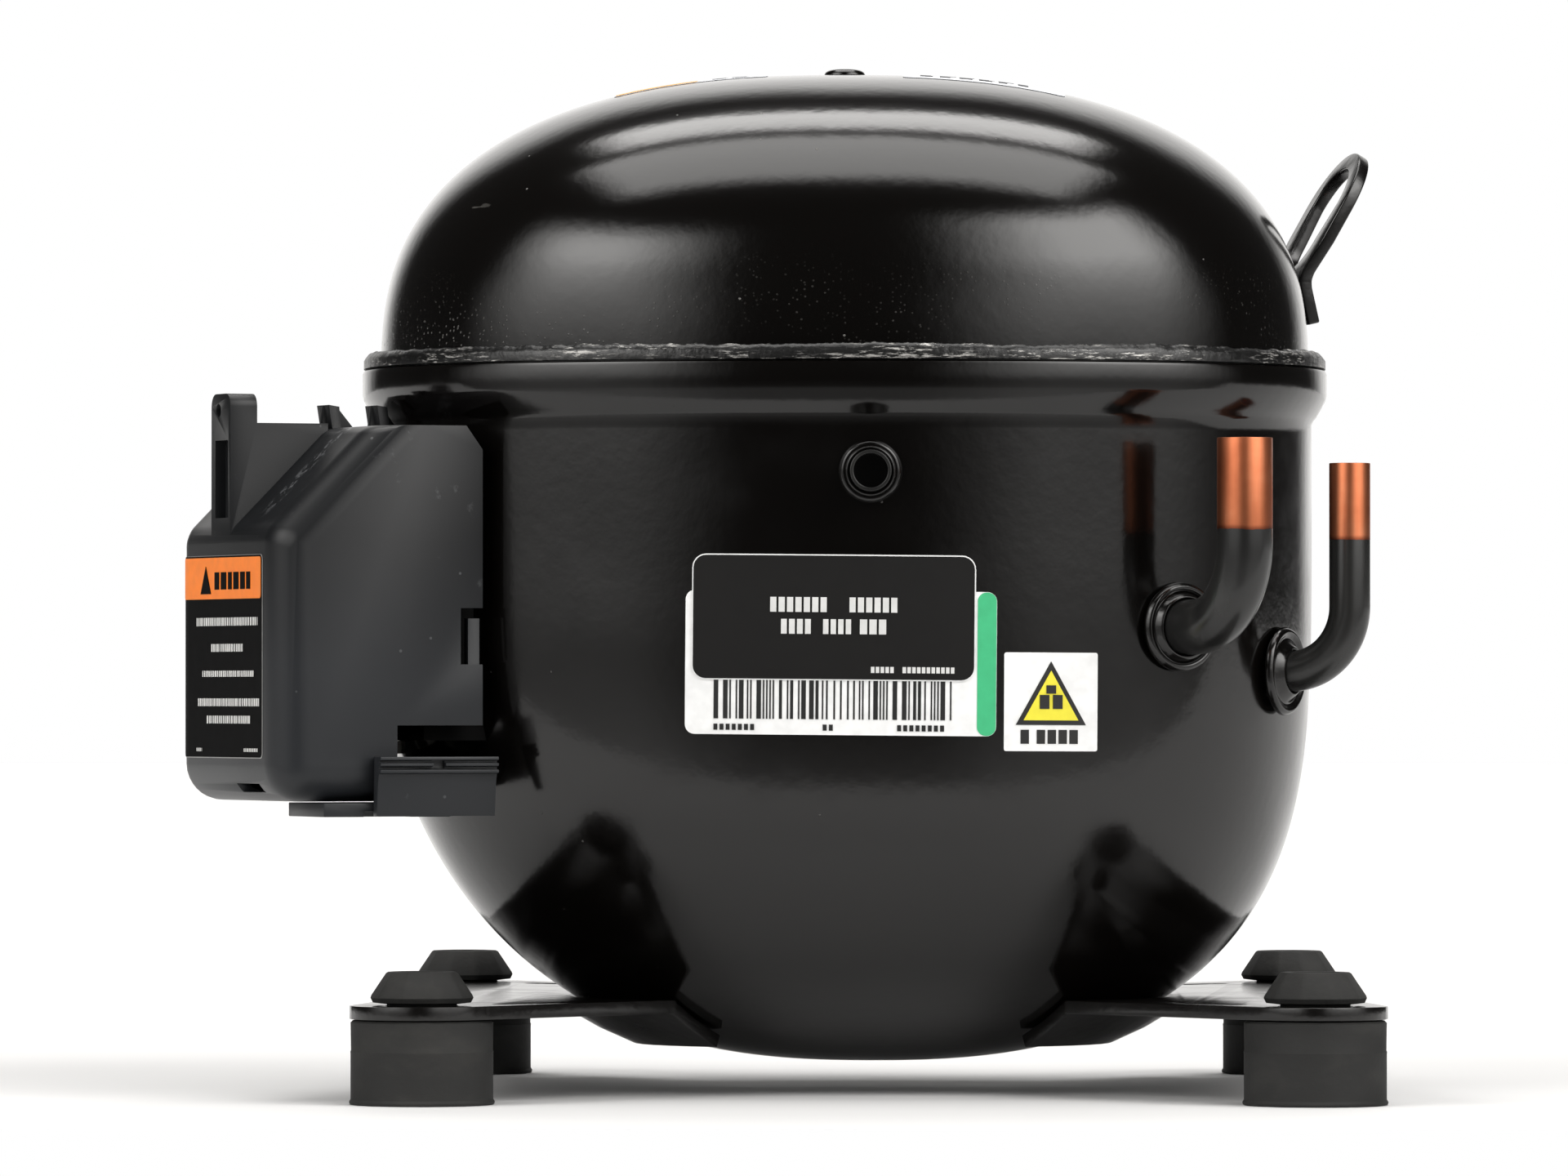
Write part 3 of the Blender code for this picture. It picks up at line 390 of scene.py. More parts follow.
@dataclass(frozen=True)
class WeldBead:
    """Weld bead painted black, its crests worn to bare steel."""

    name: str = "weld_bead_look"

    def material(self) -> bpy.types.Material:
        """Rough ripples with pale scuffs along the crests.

        Returns:
            The bead's finish.
        """
        material, graph, feed = new_material(self.name)
        scuffs = graph.noise(240.0, 6.0, (1.0, 1.0, 7.0), 0.75).smooth(0.53, 0.60)
        broad = graph.noise(38.0, 3.0, (1.0, 1.0, 8.0)).smooth(0.42, 0.54)
        bare = scuffs * broad
        base = graph.mix(bare, (0.004, 0.004, 0.004), (0.46, 0.45, 0.43))
        normal = graph.bump(graph.noise(420.0, 5.0), 1.0, 0.00022)
        feed(Base_Color=base, Metallic=bare * 0.8, Normal=normal,
             Roughness=0.3 + 0.2 * scuffs)
        return material


@dataclass(frozen=True)
class Rubber:
    """Moulded rubber with a chalky bloom."""

    name: str = "grommet_rubber_look"

    def material(self) -> bpy.types.Material:
        """Matt charcoal, mottled and faintly smeared.

        Returns:
            The rubber.
        """
        material, graph, feed = new_material(self.name, Specular_IOR_Level=0.35)
        bloom = graph.noise(70.0, 5.0, (1.0, 1.0, 1.8), 0.6)
        smear = graph.noise(28.0, 2.0, (1.0, 1.0, 4.0))
        fine = graph.noise(900.0, 3.0)
        base = graph.ramp(bloom * 0.6 + smear * 0.4,
                          [(0.32, (0.0085, 0.0085, 0.008)), (0.52, (0.0145, 0.0145, 0.0138)),
                           (0.72, (0.030, 0.0295, 0.027))])
        normal = graph.bump(fine, 0.7, 0.0001)
        normal = graph.bump(bloom, 0.6, 0.0004, normal)
        feed(Base_Color=base, Roughness=0.62 + 0.25 * bloom, Normal=normal)
        return material


@dataclass(frozen=True)
class StubCopper:
    """Drawn copper, bare at the open end and painted with the shell further down."""

    name: str
    paint_top: float

    def material(self) -> bpy.types.Material:
        """Copper above a slightly ragged paint line, enamel below it.

        Returns:
            The half painted copper.
        """
        material, graph, feed = new_material(self.name)
        ragged = graph.noise(190.0, 3.0)
        height = graph.axis("Z") + (ragged - 0.5) * 0.0009
        bare = height > self.paint_top
        edge = bare * (1.0 - height.smooth(self.paint_top, self.paint_top + 0.0012))
        draw = graph.noise(160.0, 4.0, (1.0, 1.0, 0.06), 0.65)
        tarnish = graph.noise(75.0, 4.0)
        copper = graph.ramp(tarnish * 0.55 + draw * 0.45,
                            [(0.3, (0.31, 0.084, 0.036)), (0.5, (0.47, 0.150, 0.069)),
                             (0.7, (0.60, 0.237, 0.125))])
        copper = graph.mix(edge, copper, (0.20, 0.055, 0.028))
        streaks = graph.noise(120.0, 3.0, (1.0, 1.0, 0.3))
        paint = graph.ramp(streaks, [(0.35, (0.010, 0.010, 0.010)), (0.7, (0.020, 0.020, 0.019))])
        normal = graph.bump(draw, 0.5, 0.00006)
        normal = graph.bump(streaks, 0.5, 0.00025, normal)
        feed(Base_Color=graph.mix(bare, paint, copper), Metallic=bare, Normal=normal,
             Roughness=0.2 + 0.1 * streaks + bare * (0.08 + 0.12 * draw))
        return material


@dataclass(frozen=True)
class MouldedPlastic:
    """Injection-moulded plastic with a fine spark-eroded grain."""

    name: str
    dark: Colour
    light: Colour
    roughness: float = 0.42
    scuffs: float = 0.5
    specular: float = 0.5
    # line of a worn track; when given it also turns on painted shade, darker towards the top and
    # lighter towards the bottom
    rub_line_and_painted_shade: tuple[float, float, float] | None = None

    def material(self) -> bpy.types.Material:
        """Satin plastic with flow marks and small scuffs; where a worn line is given, that line
        too, with painted shade darker towards the top and painted light towards the bottom.

        Returns:
            The plastic.
        """
        material, graph, feed = new_material(self.name, Specular_IOR_Level=self.specular)
        flow = graph.noise(14.0, 3.0)
        grain = graph.noise(2600.0, 2.0)
        rubs = graph.noise(90.0, 5.0, (1.0, 2.5, 1.0), 0.7).smooth(0.62, 0.72)
        rubs = rubs * graph.noise(24.0, 1.0).smooth(0.46, 0.6) * self.scuffs
        shade = flow
        if self.rub_line_and_painted_shade:
            # painted shade: base colour darkened towards the top and lightened towards the bottom,
            # by height
            shade = 0.25 * flow + 0.75 * (1.0 - graph.axis("Z").smooth(0.07, 0.155))
            across = graph.axis("X") * self.rub_line_and_painted_shade[0] + graph.axis("Y") * self.rub_line_and_painted_shade[1]
            off = graph.math("ABSOLUTE", across - self.rub_line_and_painted_shade[2])
            track = (1.0 - off.smooth(0.0008, 0.0042)) * graph.axis("Z").smooth(0.133, 0.139)
            worn = graph.noise(420.0, 4.0, (1.0, 1.0, 0.4), 0.75).smooth(0.5, 0.6) * track
            rubs = graph.math("MAXIMUM", rubs, worn)
        nibs = graph.specks(300.0, 0.14, 0.03)
        base = graph.ramp(shade, [(0.3, self.dark), (0.7, self.light)])
        pale = tuple(min(1.0, c * 1.9 + 0.07) for c in self.light)
        base = graph.mix(graph.math("MAXIMUM", rubs * 0.8, nibs * 0.6), base, pale)
        normal = graph.bump(grain, 0.25, 0.00003)
        normal = graph.bump(flow, 0.5, 0.0008, normal)
        feed(Base_Color=base, Normal=normal,
             Roughness=self.roughness + 0.12 * flow - 0.06 * rubs)
        return material


@dataclass(frozen=True)
class Film:
    """Printed label film in one colour."""

    name: str
    colour: Colour
    roughness: float = 0.38
    specular: float = 0.5

    def material(self) -> bpy.types.Material:
        """Slightly mottled print on film.

        Returns:
            The print.
        """
        material, graph, feed = new_material(self.name, Specular_IOR_Level=self.specular)
        mottle = graph.noise(300.0, 3.0)
        lo = tuple(c * 0.94 for c in self.colour)
        hi = tuple(min(1.0, c * 1.03) for c in self.colour)
        base = graph.ramp(mottle, [(0.35, lo), (0.65, hi)])
        normal = graph.bump(graph.noise(120.0, 2.0), 0.3, 0.00005)
        feed(Base_Color=base, Roughness=self.roughness + 0.08 * mottle, Normal=normal)
        return material


class Grain(Enum):
    """How a bare metal's surface is marked."""

    TURNED = (1.0, 1.0, 9.0)
    DRAWN = (1.0, 1.0, 0.08)
    CAST = (1.0, 1.0, 1.0)
    STACKED = (0.02, 0.02, 1.0)


@dataclass(frozen=True)
class BareMetal:
    """Unpainted metal with a directional grain."""

    name: str
    colour: Colour
    grain: Grain
    roughness: float = 0.35
    cells: float = 400.0
    metallic: float = 1.0
    relief: float = 0.00008

    def material(self) -> bpy.types.Material:
        """Metal with grain in its colour, gloss and relief.

        Returns:
            The metal.
        """
        material, graph, feed = new_material(self.name, Metallic=self.metallic)
        lines = graph.noise(self.cells, 5.0, self.grain.value, 0.65)
        stain = graph.noise(30.0, 3.0)
        lo = tuple(c * 0.62 for c in self.colour)
        base = graph.ramp(lines * 0.6 + stain * 0.4, [(0.32, lo), (0.62, self.colour)])
        normal = graph.bump(lines, 0.7, self.relief)
        feed(Base_Color=base, Roughness=self.roughness + 0.25 * (lines - 0.5), Normal=normal)
        return material


# ------------------------------------------------------------------ bench

class Bench:
    """Edit-mode modelling with Blender's operators, one piece at a time."""

    @staticmethod
    def deselect() -> None:
        """Leave nothing selected."""
        for obj in bpy.context.selected_objects:
            obj.select_set(False)

    @staticmethod
    def pick(obj: bpy.types.Object) -> None:
        """Make one object the selected and active one.

        Args:
            obj: the object.
        """
        Bench.deselect()
        obj.select_set(True)
        bpy.context.view_layer.objects.active = obj

    @staticmethod
    def edit(on: bool) -> None:
        """Enter or leave edit mode."""
        bpy.ops.object.mode_set(mode="EDIT" if on else "OBJECT")

    @staticmethod
    def apply(obj: bpy.types.Object, kind: str, **settings: object) -> None:
        """Add a modifier and apply it at once.

        Args:
            obj: the piece.
            kind: the modifier's type.
            settings: its attributes.
        """
        Bench.pick(obj)
        modifier = obj.modifiers.new(kind.lower(), kind)
        for key, value in settings.items():
            setattr(modifier, key, value)
        bpy.ops.object.modifier_apply(modifier=modifier.name)

    @staticmethod
    def smooth(obj: bpy.types.Object, degrees: float = 35.0) -> None:
        """Shade smooth, with edges sharper than an angle kept crisp."""
        Bench.pick(obj)
        bpy.ops.object.shade_smooth_by_angle(angle=math.radians(degrees))

    @staticmethod
    def chain(name: str, points: Sequence[Point], closed: bool = False) -> bpy.types.Object:
        """Draw a chain of edges by extruding one point along a path in millimetres.

        Args:
            name: the piece's name.
            points: places along the chain.
            closed: whether the last point joins the first.

        Returns:
            The new object, still in edit mode with all of it selected.
        """
        Bench.deselect()
        first = Vector(points[0]) * MM
        bpy.ops.mesh.primitive_plane_add(size=MM, location=first)
        obj = bpy.context.active_object
        obj.name = obj.data.name = name
        obj.data.transform(Matrix.Translation(obj.location))
        obj.location = (0.0, 0.0, 0.0)
        Bench.edit(True)
        bpy.ops.mesh.select_mode(type="VERT")
        bpy.ops.mesh.select_all(action="SELECT")
        bpy.ops.mesh.merge(type="CENTER")
        for before, after in zip(points, points[1:]):
            step = (Vector(after) - Vector(before)) * MM
            bpy.ops.mesh.extrude_vertices_move(TRANSFORM_OT_translate={"value": step})
        if closed:
            bpy.ops.mesh.extrude_vertices_move(
                TRANSFORM_OT_translate={"value": (Vector(points[0]) - Vector(points[-1])) * MM})
        bpy.ops.mesh.select_all(action="SELECT")
        bpy.ops.mesh.remove_doubles(threshold=1e-7)
        return obj

    @staticmethod
    def thicken(step: Point) -> None:
        """Extrude what is selected by a step in millimetres and face it all outwards.

        Args:
            step: how far and which way.
        """
        bpy.ops.mesh.extrude_region_move(TRANSFORM_OT_translate={"value": Vector(step) * MM})
        bpy.ops.mesh.select_all(action="SELECT")
        bpy.ops.mesh.normals_make_consistent(inside=False)

    @staticmethod
    def turned(name: str, profile: Sequence[Pair], steps: int,
               place: Matrix | None = None) -> bpy.types.Object:
        """Spin a profile of (radius, height) about Z, then lay it in a frame.

        Args:
            name: the piece's name.
            profile: the outline; it is closed on itself unless it starts on the axis.
            steps: facets round the turn.
            place: frame that the turned piece is laid in.

        Returns:
            The finished mesh object.
        """
        ring = profile[0][0] > 0.0
        obj = Bench.chain(name, [(r, 0.0, z) for r, z in profile], ring)
        bpy.ops.mesh.spin(steps=steps, angle=math.tau, center=(0, 0, 0), axis=(0, 0, 1))
        bpy.ops.mesh.select_all(action="SELECT")
        bpy.ops.mesh.remove_doubles(threshold=2e-6)
        bpy.ops.mesh.normals_make_consistent(inside=False)
        Bench.edit(False)
        if place is not None:
            obj.data.transform(place)
        return obj

    @staticmethod
    def select_edges(obj: bpy.types.Object, wanted: Callable[[Vector, Vector], bool]) -> None:
        """Select, in edit mode, the edges whose two ends pass a test.

        Args:
            obj: the piece.
            wanted: test on the two ends, in metres.
        """
        bpy.ops.mesh.select_mode(type="EDGE")
        bpy.ops.mesh.select_all(action="DESELECT")
        Bench.edit(False)
        points = obj.data.vertices
        for edge in obj.data.edges:
            edge.select = wanted(points[edge.vertices[0]].co, points[edge.vertices[1]].co)
        Bench.edit(True)

    @staticmethod
    def select_faces(obj: bpy.types.Object, wanted: Callable[[list[Vector]], bool]) -> None:
        """Select, in edit mode, the faces whose corners pass a test.

        Args:
            obj: the piece.
            wanted: test on the corners, in metres.
        """
        bpy.ops.mesh.select_mode(type="FACE")
        bpy.ops.mesh.select_all(action="DESELECT")
        Bench.edit(False)
        points = obj.data.vertices
        for face in obj.data.polygons:
            face.select = wanted([points[i].co for i in face.vertices])
        Bench.edit(True)

    @staticmethod
    def merge(obj: bpy.types.Object, other: bpy.types.Object,
              operation: str = "DIFFERENCE") -> None:
        """Cut or join another piece with this one, and remove the other."""
        Bench.apply(obj, "BOOLEAN", operation=operation, object=other, solver="EXACT")
        bpy.data.objects.remove(other)

    @staticmethod
    def turn_out(obj: bpy.types.Object) -> None:
        """Point every face outwards.

        Args:
            obj: the piece.
        """
        Bench.pick(obj)
        Bench.edit(True)
        bpy.ops.mesh.select_mode(type="VERT")
        bpy.ops.mesh.select_all(action="SELECT")
        bpy.ops.mesh.normals_make_consistent(inside=False)
        Bench.edit(False)

    @staticmethod
    def copy_node(node: str, name: str) -> bpy.types.Object:
        """Copy a frame node's mesh, with its loose triangles joined and flat faces whole.

        Args:
            node: the frame node.
            name: the copy's name.

        Returns:
            The copy, undressed.
        """
        obj = bpy.data.objects.new(name, frame["nodes"][node].data.copy())
        bpy.context.scene.collection.objects.link(obj)
        obj.data.materials.clear()
        Bench.pick(obj)
        Bench.edit(True)
        bpy.ops.mesh.select_all(action="SELECT")
        bpy.ops.mesh.remove_doubles(threshold=2e-6)
        bpy.ops.mesh.dissolve_limited(angle_limit=math.radians(0.6))
        Bench.edit(False)
        return obj


def place(obj: bpy.types.Object, body: str, slot: str, look: bpy.types.Material,
          *nodes: str) -> None:
    """Dress a finished piece, ride it on its body and stand it for its nodes.

    Args:
        obj: the piece, in place.
        body: the body it moves with.
        slot: the record's material slot; not used.
        look: its material.
        nodes: the frame nodes that it stands for.
    """
    obj.data.materials.clear()
    obj.data.materials.append(look)
    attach(obj, body)
    if nodes:
        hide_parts(*nodes)
    log.info("%s: %d faces on %s", obj.name, len(obj.data.polygons), body)


def arc(centre: Pair, radius: float, start: float, end: float, count: int) -> list[Pair]:
    """Points on a round stretch, angles in degrees.

    Args:
        centre: middle of the round.
        radius: its radius.
        start: first angle.
        end: last angle.
        count: steps between them.

    Returns:
        The points in order.
    """
    angles = [math.radians(start + (end - start) * i / count) for i in range(count + 1)]
    return [(centre[0] + radius * math.cos(a), centre[1] + radius * math.sin(a))
            for a in angles]


def middle_x(*nodes: str) -> float:
    """Middle of some nodes along X, in millimetres.

    Args:
        nodes: the nodes' names.

    Returns:
        The middle of their common box.
    """
    boxes = [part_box(node) for node in nodes]
    low, high = min(b[0].x for b in boxes), max(b[1].x for b in boxes)
    return (low + high) / 2 / MM


# ------------------------------------------------------------------ shell

@dataclass
class ShellForm:
    """Shape shared by the shell's two halves and by what lies on them."""

    feet_x: float
    rim_x: float
    half: float = 110.5
    narrow: float = 0.83
    squareness: float = 2.4
    wall: float = 3.0
    bowl_foot: float = 6.6
    bowl_top: float = 118.0
    bowl_power: float = 2.55
    wall_top: float = 157.0
    rim_half: float = 114.1
    rim_top: float = 169.5
    dome_half: float = 109.7
    dome_foot: float = 170.0
    dome_rise: float = 69.5
    dome_power: float = 2.5
    skirt_foot: float = 163.6

    def axis_x(self, z: float) -> float:
        """Where the shell's axis stands at a height."""
        t = min(max((z - self.bowl_foot) / 100.0, 0.0), 1.0)
        return self.feet_x + (self.rim_x - self.feet_x) * t * t * (3.0 - 2.0 * t)

    def bowl_half(self, z: float) -> float:
        """Half length of the lower shell at a height."""
        drop = min(max((self.bowl_top - z) / (self.bowl_top - self.bowl_foot), 0.0), 1.0)
        return self.half * (1.0 - drop ** self.bowl_power) ** (1.0 / self.bowl_power)

    def dome_half_at(self, z: float) -> float:
        """Half length of the upper shell at a height."""
        rise = min(max((z - self.dome_foot) / self.dome_rise, 0.0), 1.0)
        return self.dome_half * (1.0 - rise ** self.dome_power) ** (1.0 / self.dome_power)

    def swell(self, angle: float) -> float:
        """How far the rounded plan reaches at an angle, over a circle."""
        c, s = abs(math.cos(angle)), abs(math.sin(angle))
        return (c ** self.squareness + s ** self.squareness) ** (-1.0 / self.squareness)

    def press(self, obj: bpy.types.Object) -> None:
        """Press a turned mesh to the shell's plan and lean.

        Args:
            obj: a mesh turned about Z.
        """
        for vertex in obj.data.vertices:
            x, y, z = vertex.co / MM
            angle, size = math.atan2(y, x), math.hypot(x, y)
            reach = size * self.swell(angle)
            vertex.co = Vector((self.axis_x(z) + reach * math.cos(angle),
                                self.narrow * reach * math.sin(angle), z)) * MM

    def front_y(self, x: float, z: float) -> float:
        """Depth of the lower shell's front face at a place.

        Args:
            x: place along the shell.
            z: height.

        Returns:
            The depth in millimetres.
        """
        size = self.bowl_half(z)
        share = min(abs(x - self.axis_x(z)) / size, 1.0)
        return -self.narrow * size * (1.0 - share ** self.squareness) ** (1.0 / self.squareness)

    def dome_z(self, x: float, y: float) -> float:
        """Height of the upper shell's face over a place.

        Args:
            x: place along the shell.
            y: place across it.

        Returns:
            The height in millimetres.
        """
        size = (abs(x - self.rim_x) ** self.squareness
                + abs(y / self.narrow) ** self.squareness) ** (1.0 / self.squareness)
        share = min(size / self.dome_half, 1.0)
        return self.dome_foot + self.dome_rise * (1.0 - share ** self.dome_power) ** (
            1.0 / self.dome_power)

    def cutter(self, name: str, extra: float) -> bpy.types.Object:
        """Solid of the lower shell's outside, swollen by a clearance.

        Args:
            name: the solid's name.
            extra: the clearance in millimetres.

        Returns:
            The solid.
        """
        drops = [math.radians(90.0 * i / 16) for i in range(16)]
        share = 2.0 / self.bowl_power
        rise = self.bowl_top - self.bowl_foot + extra
        profile = [(0.0, self.bowl_top - rise)]
        profile += [((self.half + extra) * math.cos(a) ** share,
                     self.bowl_top - rise * math.sin(a) ** share) for a in drops[::-1]]
        profile += [(self.half + extra, self.wall_top - extra),
                    (self.rim_half + extra, self.wall_top + 5.0 - extra),
                    (self.rim_half + extra, self.rim_top + 8.0), (0.0, self.rim_top + 8.0)]
        obj = Bench.turned(name, profile, 96)
        self.press(obj)
        return obj

    def face_point(self, bearing: float, size: float, z: float) -> Pair:
        """Place on the plan whose outward normal has a bearing in degrees.

        Args:
            bearing: direction of the normal.
            size: half length of the shell there.
            z: height.

        Returns:
            The place, in millimetres.
        """
        c, s = math.cos(math.radians(bearing)), math.sin(math.radians(bearing))
        bend = 1.0 / (self.squareness - 1.0)
        deep = size * self.narrow
        across = math.copysign((abs(c) * size ** self.squareness) ** bend, c)
        along = math.copysign((abs(s) * deep ** self.squareness) ** bend, s)
        total = abs(across / size) ** self.squareness + abs(along / deep) ** self.squareness
        shrink = total ** (-1.0 / self.squareness)
        return self.axis_x(z) + across * shrink, along * shrink


@dataclass
class Housing:
    """Upper and lower shell, the weld between them and the plug on top."""

    form: ShellForm
    steps: int = 240

    def quarter(self, half: float, rise: float, power: float, count: int) -> list[Pair]:
        """Rounded quarter from the widest ring to the axis, as (radius, rise).

        Args:
            half: widest radius.
            rise: height at the axis.
            power: squareness of the round.
            count: steps.

        Returns:
            The points from the widest to the axis.
        """
        turns = [math.radians(90.0 * i / count) for i in range(count + 1)]
        share = 2.0 / power
        points = [(half * math.cos(a) ** share, rise * math.sin(a) ** share) for a in turns[:-1]]
        return points + [(0.0, rise)]

    def build(self) -> None:
        """Make, dress and place the housing's pieces."""
        form = self.form
        enamel = DomeEnamel("dome_enamel", seam_height=(form.rim_top + 3.0) * MM)
        skirt = [(form.dome_half - form.wall, form.skirt_foot), (form.dome_half, form.skirt_foot)]
        inner = self.quarter(form.dome_half - form.wall, form.dome_rise - form.wall,
                             form.dome_power, 14)
        outer = self.quarter(form.dome_half, form.dome_rise, form.dome_power, 56)
        profile = [(r, form.dome_foot + z) for r, z in inner[::-1]] + skirt
        profile += [(r, form.dome_foot + z) for r, z in outer]
        dome = Bench.turned("upper_shell_skin", profile, self.steps)
        form.press(dome)
        Bench.smooth(dome, 40.0)
        place(dome, "housing", "shell_paint", enamel.material(), "upper_shell")

        inner_rim = form.dome_half + 0.45
        outer = self.quarter(form.half, form.bowl_top - form.bowl_foot, form.bowl_power, 60)
        inner = self.quarter(form.half - form.wall, form.bowl_top - form.bowl_foot - form.wall,
                             form.bowl_power, 14)
        profile = [(r, form.bowl_top - z) for r, z in inner[::-1]]
        profile += [(form.half - form.wall, form.wall_top), (inner_rim, form.wall_top + 4.5),
                    (inner_rim, form.rim_top), (form.rim_half - 0.8, form.rim_top),
                    (form.rim_half - 0.25, form.rim_top - 0.25),
                    (form.rim_half, form.rim_top - 0.9), (form.rim_half, form.wall_top + 6.6),
                    (form.rim_half - 0.3, form.wall_top + 5.4),
                    (form.half + 1.2, form.wall_top + 1.6),
                    (form.half + 0.45, form.wall_top + 0.7),
                    (form.half, form.wall_top - 0.4), (form.half, form.wall_top - 3.0)]
        profile += [(r, form.bowl_top - z) for r, z in outer]
        bowl = Bench.turned("lower_shell_skin", profile, self.steps)
        form.press(bowl)
        Bench.smooth(bowl, 40.0)
        place(bowl, "housing", "shell_paint", Enamel("shell_enamel").material(), "lower_shell")
        self.build_bead(inner_rim)
        plug = [(0.0, 1.6), (2.6, 1.55), (3.9, 1.3), (4.6, 0.85), (4.85, 0.35), (4.85, 0.0),
                (0.0, 0.0)]
        low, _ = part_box("dome_plug")
        spot = Matrix.Translation((form.rim_x * MM, 0.0, low.z))
        cap = Bench.turned("dome_plug_cap", plug, 40, spot)
        Bench.smooth(cap)
        place(cap, "housing", "shell_paint", Enamel("plug_enamel", dust=1.0).material(),
              "dome_plug")

    def build_bead(self, inner_rim: float) -> None:
        """Weld bead with the ripples of each puddle and two uneven toes.

        Args:
            inner_rim: radius of the rim's inner face.
        """
        form = self.form
        foot = form.rim_top + 0.35
        width = form.rim_half - 0.3 - inner_rim
        shape = [(width * (1.0 - i / 9), 3.4 * math.sin(math.pi * (0.12 + 0.76 * i / 9)) ** 0.7)
                 for i in range(10)]
        profile = [(inner_rim, foot), (inner_rim + width, foot)]
        profile += [(inner_rim + r, foot + 0.25 + z) for r, z in shape]
        bead = Bench.turned("seam_weld_bead", profile, 1100)
        rng = random.Random(7)
        waves = [(rng.randint(60, 160), rng.uniform(0, 6.28), rng.uniform(0.10, 0.2))
                 for _ in range(5)] + [(rng.randint(9, 24), rng.uniform(0, 6.28), 0.3)
                                       for _ in range(3)]
        for vertex in bead.data.vertices:
            if vertex.co.z / MM < foot + 0.1:
                continue
            angle = math.atan2(vertex.co.y, vertex.co.x)
            lift = sum(a * math.sin(n * angle + p) for n, p, a in waves)
            puddle = 0.22 * abs(math.sin(angle * 190.0 + 900.0 * vertex.co.z))
            share = 1.0 + (lift * 0.28 - puddle * 0.6) * 0.35
            vertex.co.z = (foot + (vertex.co.z / MM - foot) * max(share, 0.45)) * MM
        form.press(bead)
        Bench.smooth(bead, 60.0)
        place(bead, "housing", "weld_bead", WeldBead().material(), "seam_weld")


# ------------------------------------------------------------------ tube stubs

@dataclass
class Stub:
    """One copper tube stub through the shell's wall, with its collar."""

    name: str
    form: ShellForm
    bearing: float
    height: float
    radius: float
    wall: float
    reach: float
    collar: float
    bend: float = 0.0
    top: float = 0.0
    paint_top: float = 1.0
    inside: float = 12.0

    def frame(self) -> Matrix:
        """Frame on the shell's face with X pointing out.

        Returns:
            The frame.
        """
        x, y = self.form.face_point(self.bearing, self.form.bowl_half(self.height), self.height)
        spot = Matrix.Translation(Vector((x, y, self.height)) * MM)
        return spot @ Matrix.Rotation(math.radians(self.bearing), 4, "Z")

    def path(self) -> list[Point]:
        """Centre line in the stub's own frame, in millimetres.

        Returns:
            The points, inner end first.
        """
        if not self.bend:
            return [(-self.inside, 0.0, 0.0), (self.reach * 0.5, 0.0, 0.0),
                    (self.reach, 0.0, 0.0)]
        straight = self.reach - self.bend
        points = [(-self.inside, 0.0, 0.0), (straight - 1.5, 0.0, 0.0)]
        points += [(x, 0.0, z) for x, z in arc((straight, self.bend), self.bend, -90, 0, 24)]
        return points + [(self.reach, 0.0, self.bend + 1.5),
                         (self.reach, 0.0, self.top - self.height)]

    def build(self) -> None:
        """Make the tube and its collar, and place them."""
        curve = bpy.data.curves.new(f"{self.name}_stub", "CURVE")
        curve.dimensions = "3D"
        curve.bevel_depth = self.radius * MM
        curve.bevel_resolution = 14
        curve.use_fill_caps = False
        points = self.path()
        spline = curve.splines.new("POLY")
        spline.points.add(len(points) - 1)
        for knot, spot in zip(spline.points, points):
            knot.co = (*(Vector(spot) * MM), 1.0)
        tube = bpy.data.objects.new(curve.name, curve)
        bpy.context.scene.collection.objects.link(tube)
        Bench.pick(tube)
        bpy.ops.object.convert(target="MESH")
        tube = bpy.context.active_object
        Bench.apply(tube, "SOLIDIFY", thickness=self.wall * MM, offset=-1.0)
        Bench.apply(tube, "BEVEL", width=0.18 * MM, segments=2, limit_method="ANGLE",
                    angle_limit=math.radians(50.0))
        tube.data.transform(self.frame())
        Bench.smooth(tube, 40.0)
        copper = StubCopper(f"{self.name}_copper", self.paint_top * MM)
        place(tube, "housing", "copper", copper.material(), f"{self.name}_tube")
        self.build_collar()

    def build_collar(self) -> None:
        """Drawn collar: an outer ring, a groove and a brazed lip round the tube."""
        inner, outer = self.radius + 0.1, self.collar
        mid = inner + (outer - inner) * 0.45
        profile = [(inner, 0.5), (inner, 3.9), (inner + 0.5, 4.1), (inner + 1.0, 3.6)]
        profile += [(mid, 2.1), (mid + 0.5, 2.0)]
        profile += [(outer - 1.9, 2.5), (outer - 1.1, 2.9), (outer - 0.4, 2.5), (outer, 1.6),
                    (outer + 0.15, 0.5)]
        frame_z = self.frame() @ Matrix.Rotation(math.radians(90.0), 4, "Y")
        ring = Bench.turned(f"{self.name}_collar_ring", profile, 64, frame_z)
        Bench.apply(ring, "SUBSURF", levels=1, render_levels=1)
        Bench.smooth(ring, 70.0)
        lumpy = Enamel(f"{self.name}_collar_enamel", gloss_roughness=0.16, peel_depth=0.00012)
        place(ring, "housing", "bracket_paint", lumpy.material(), f"{self.name}_collar")


# ------------------------------------------------------------------ feet and brackets

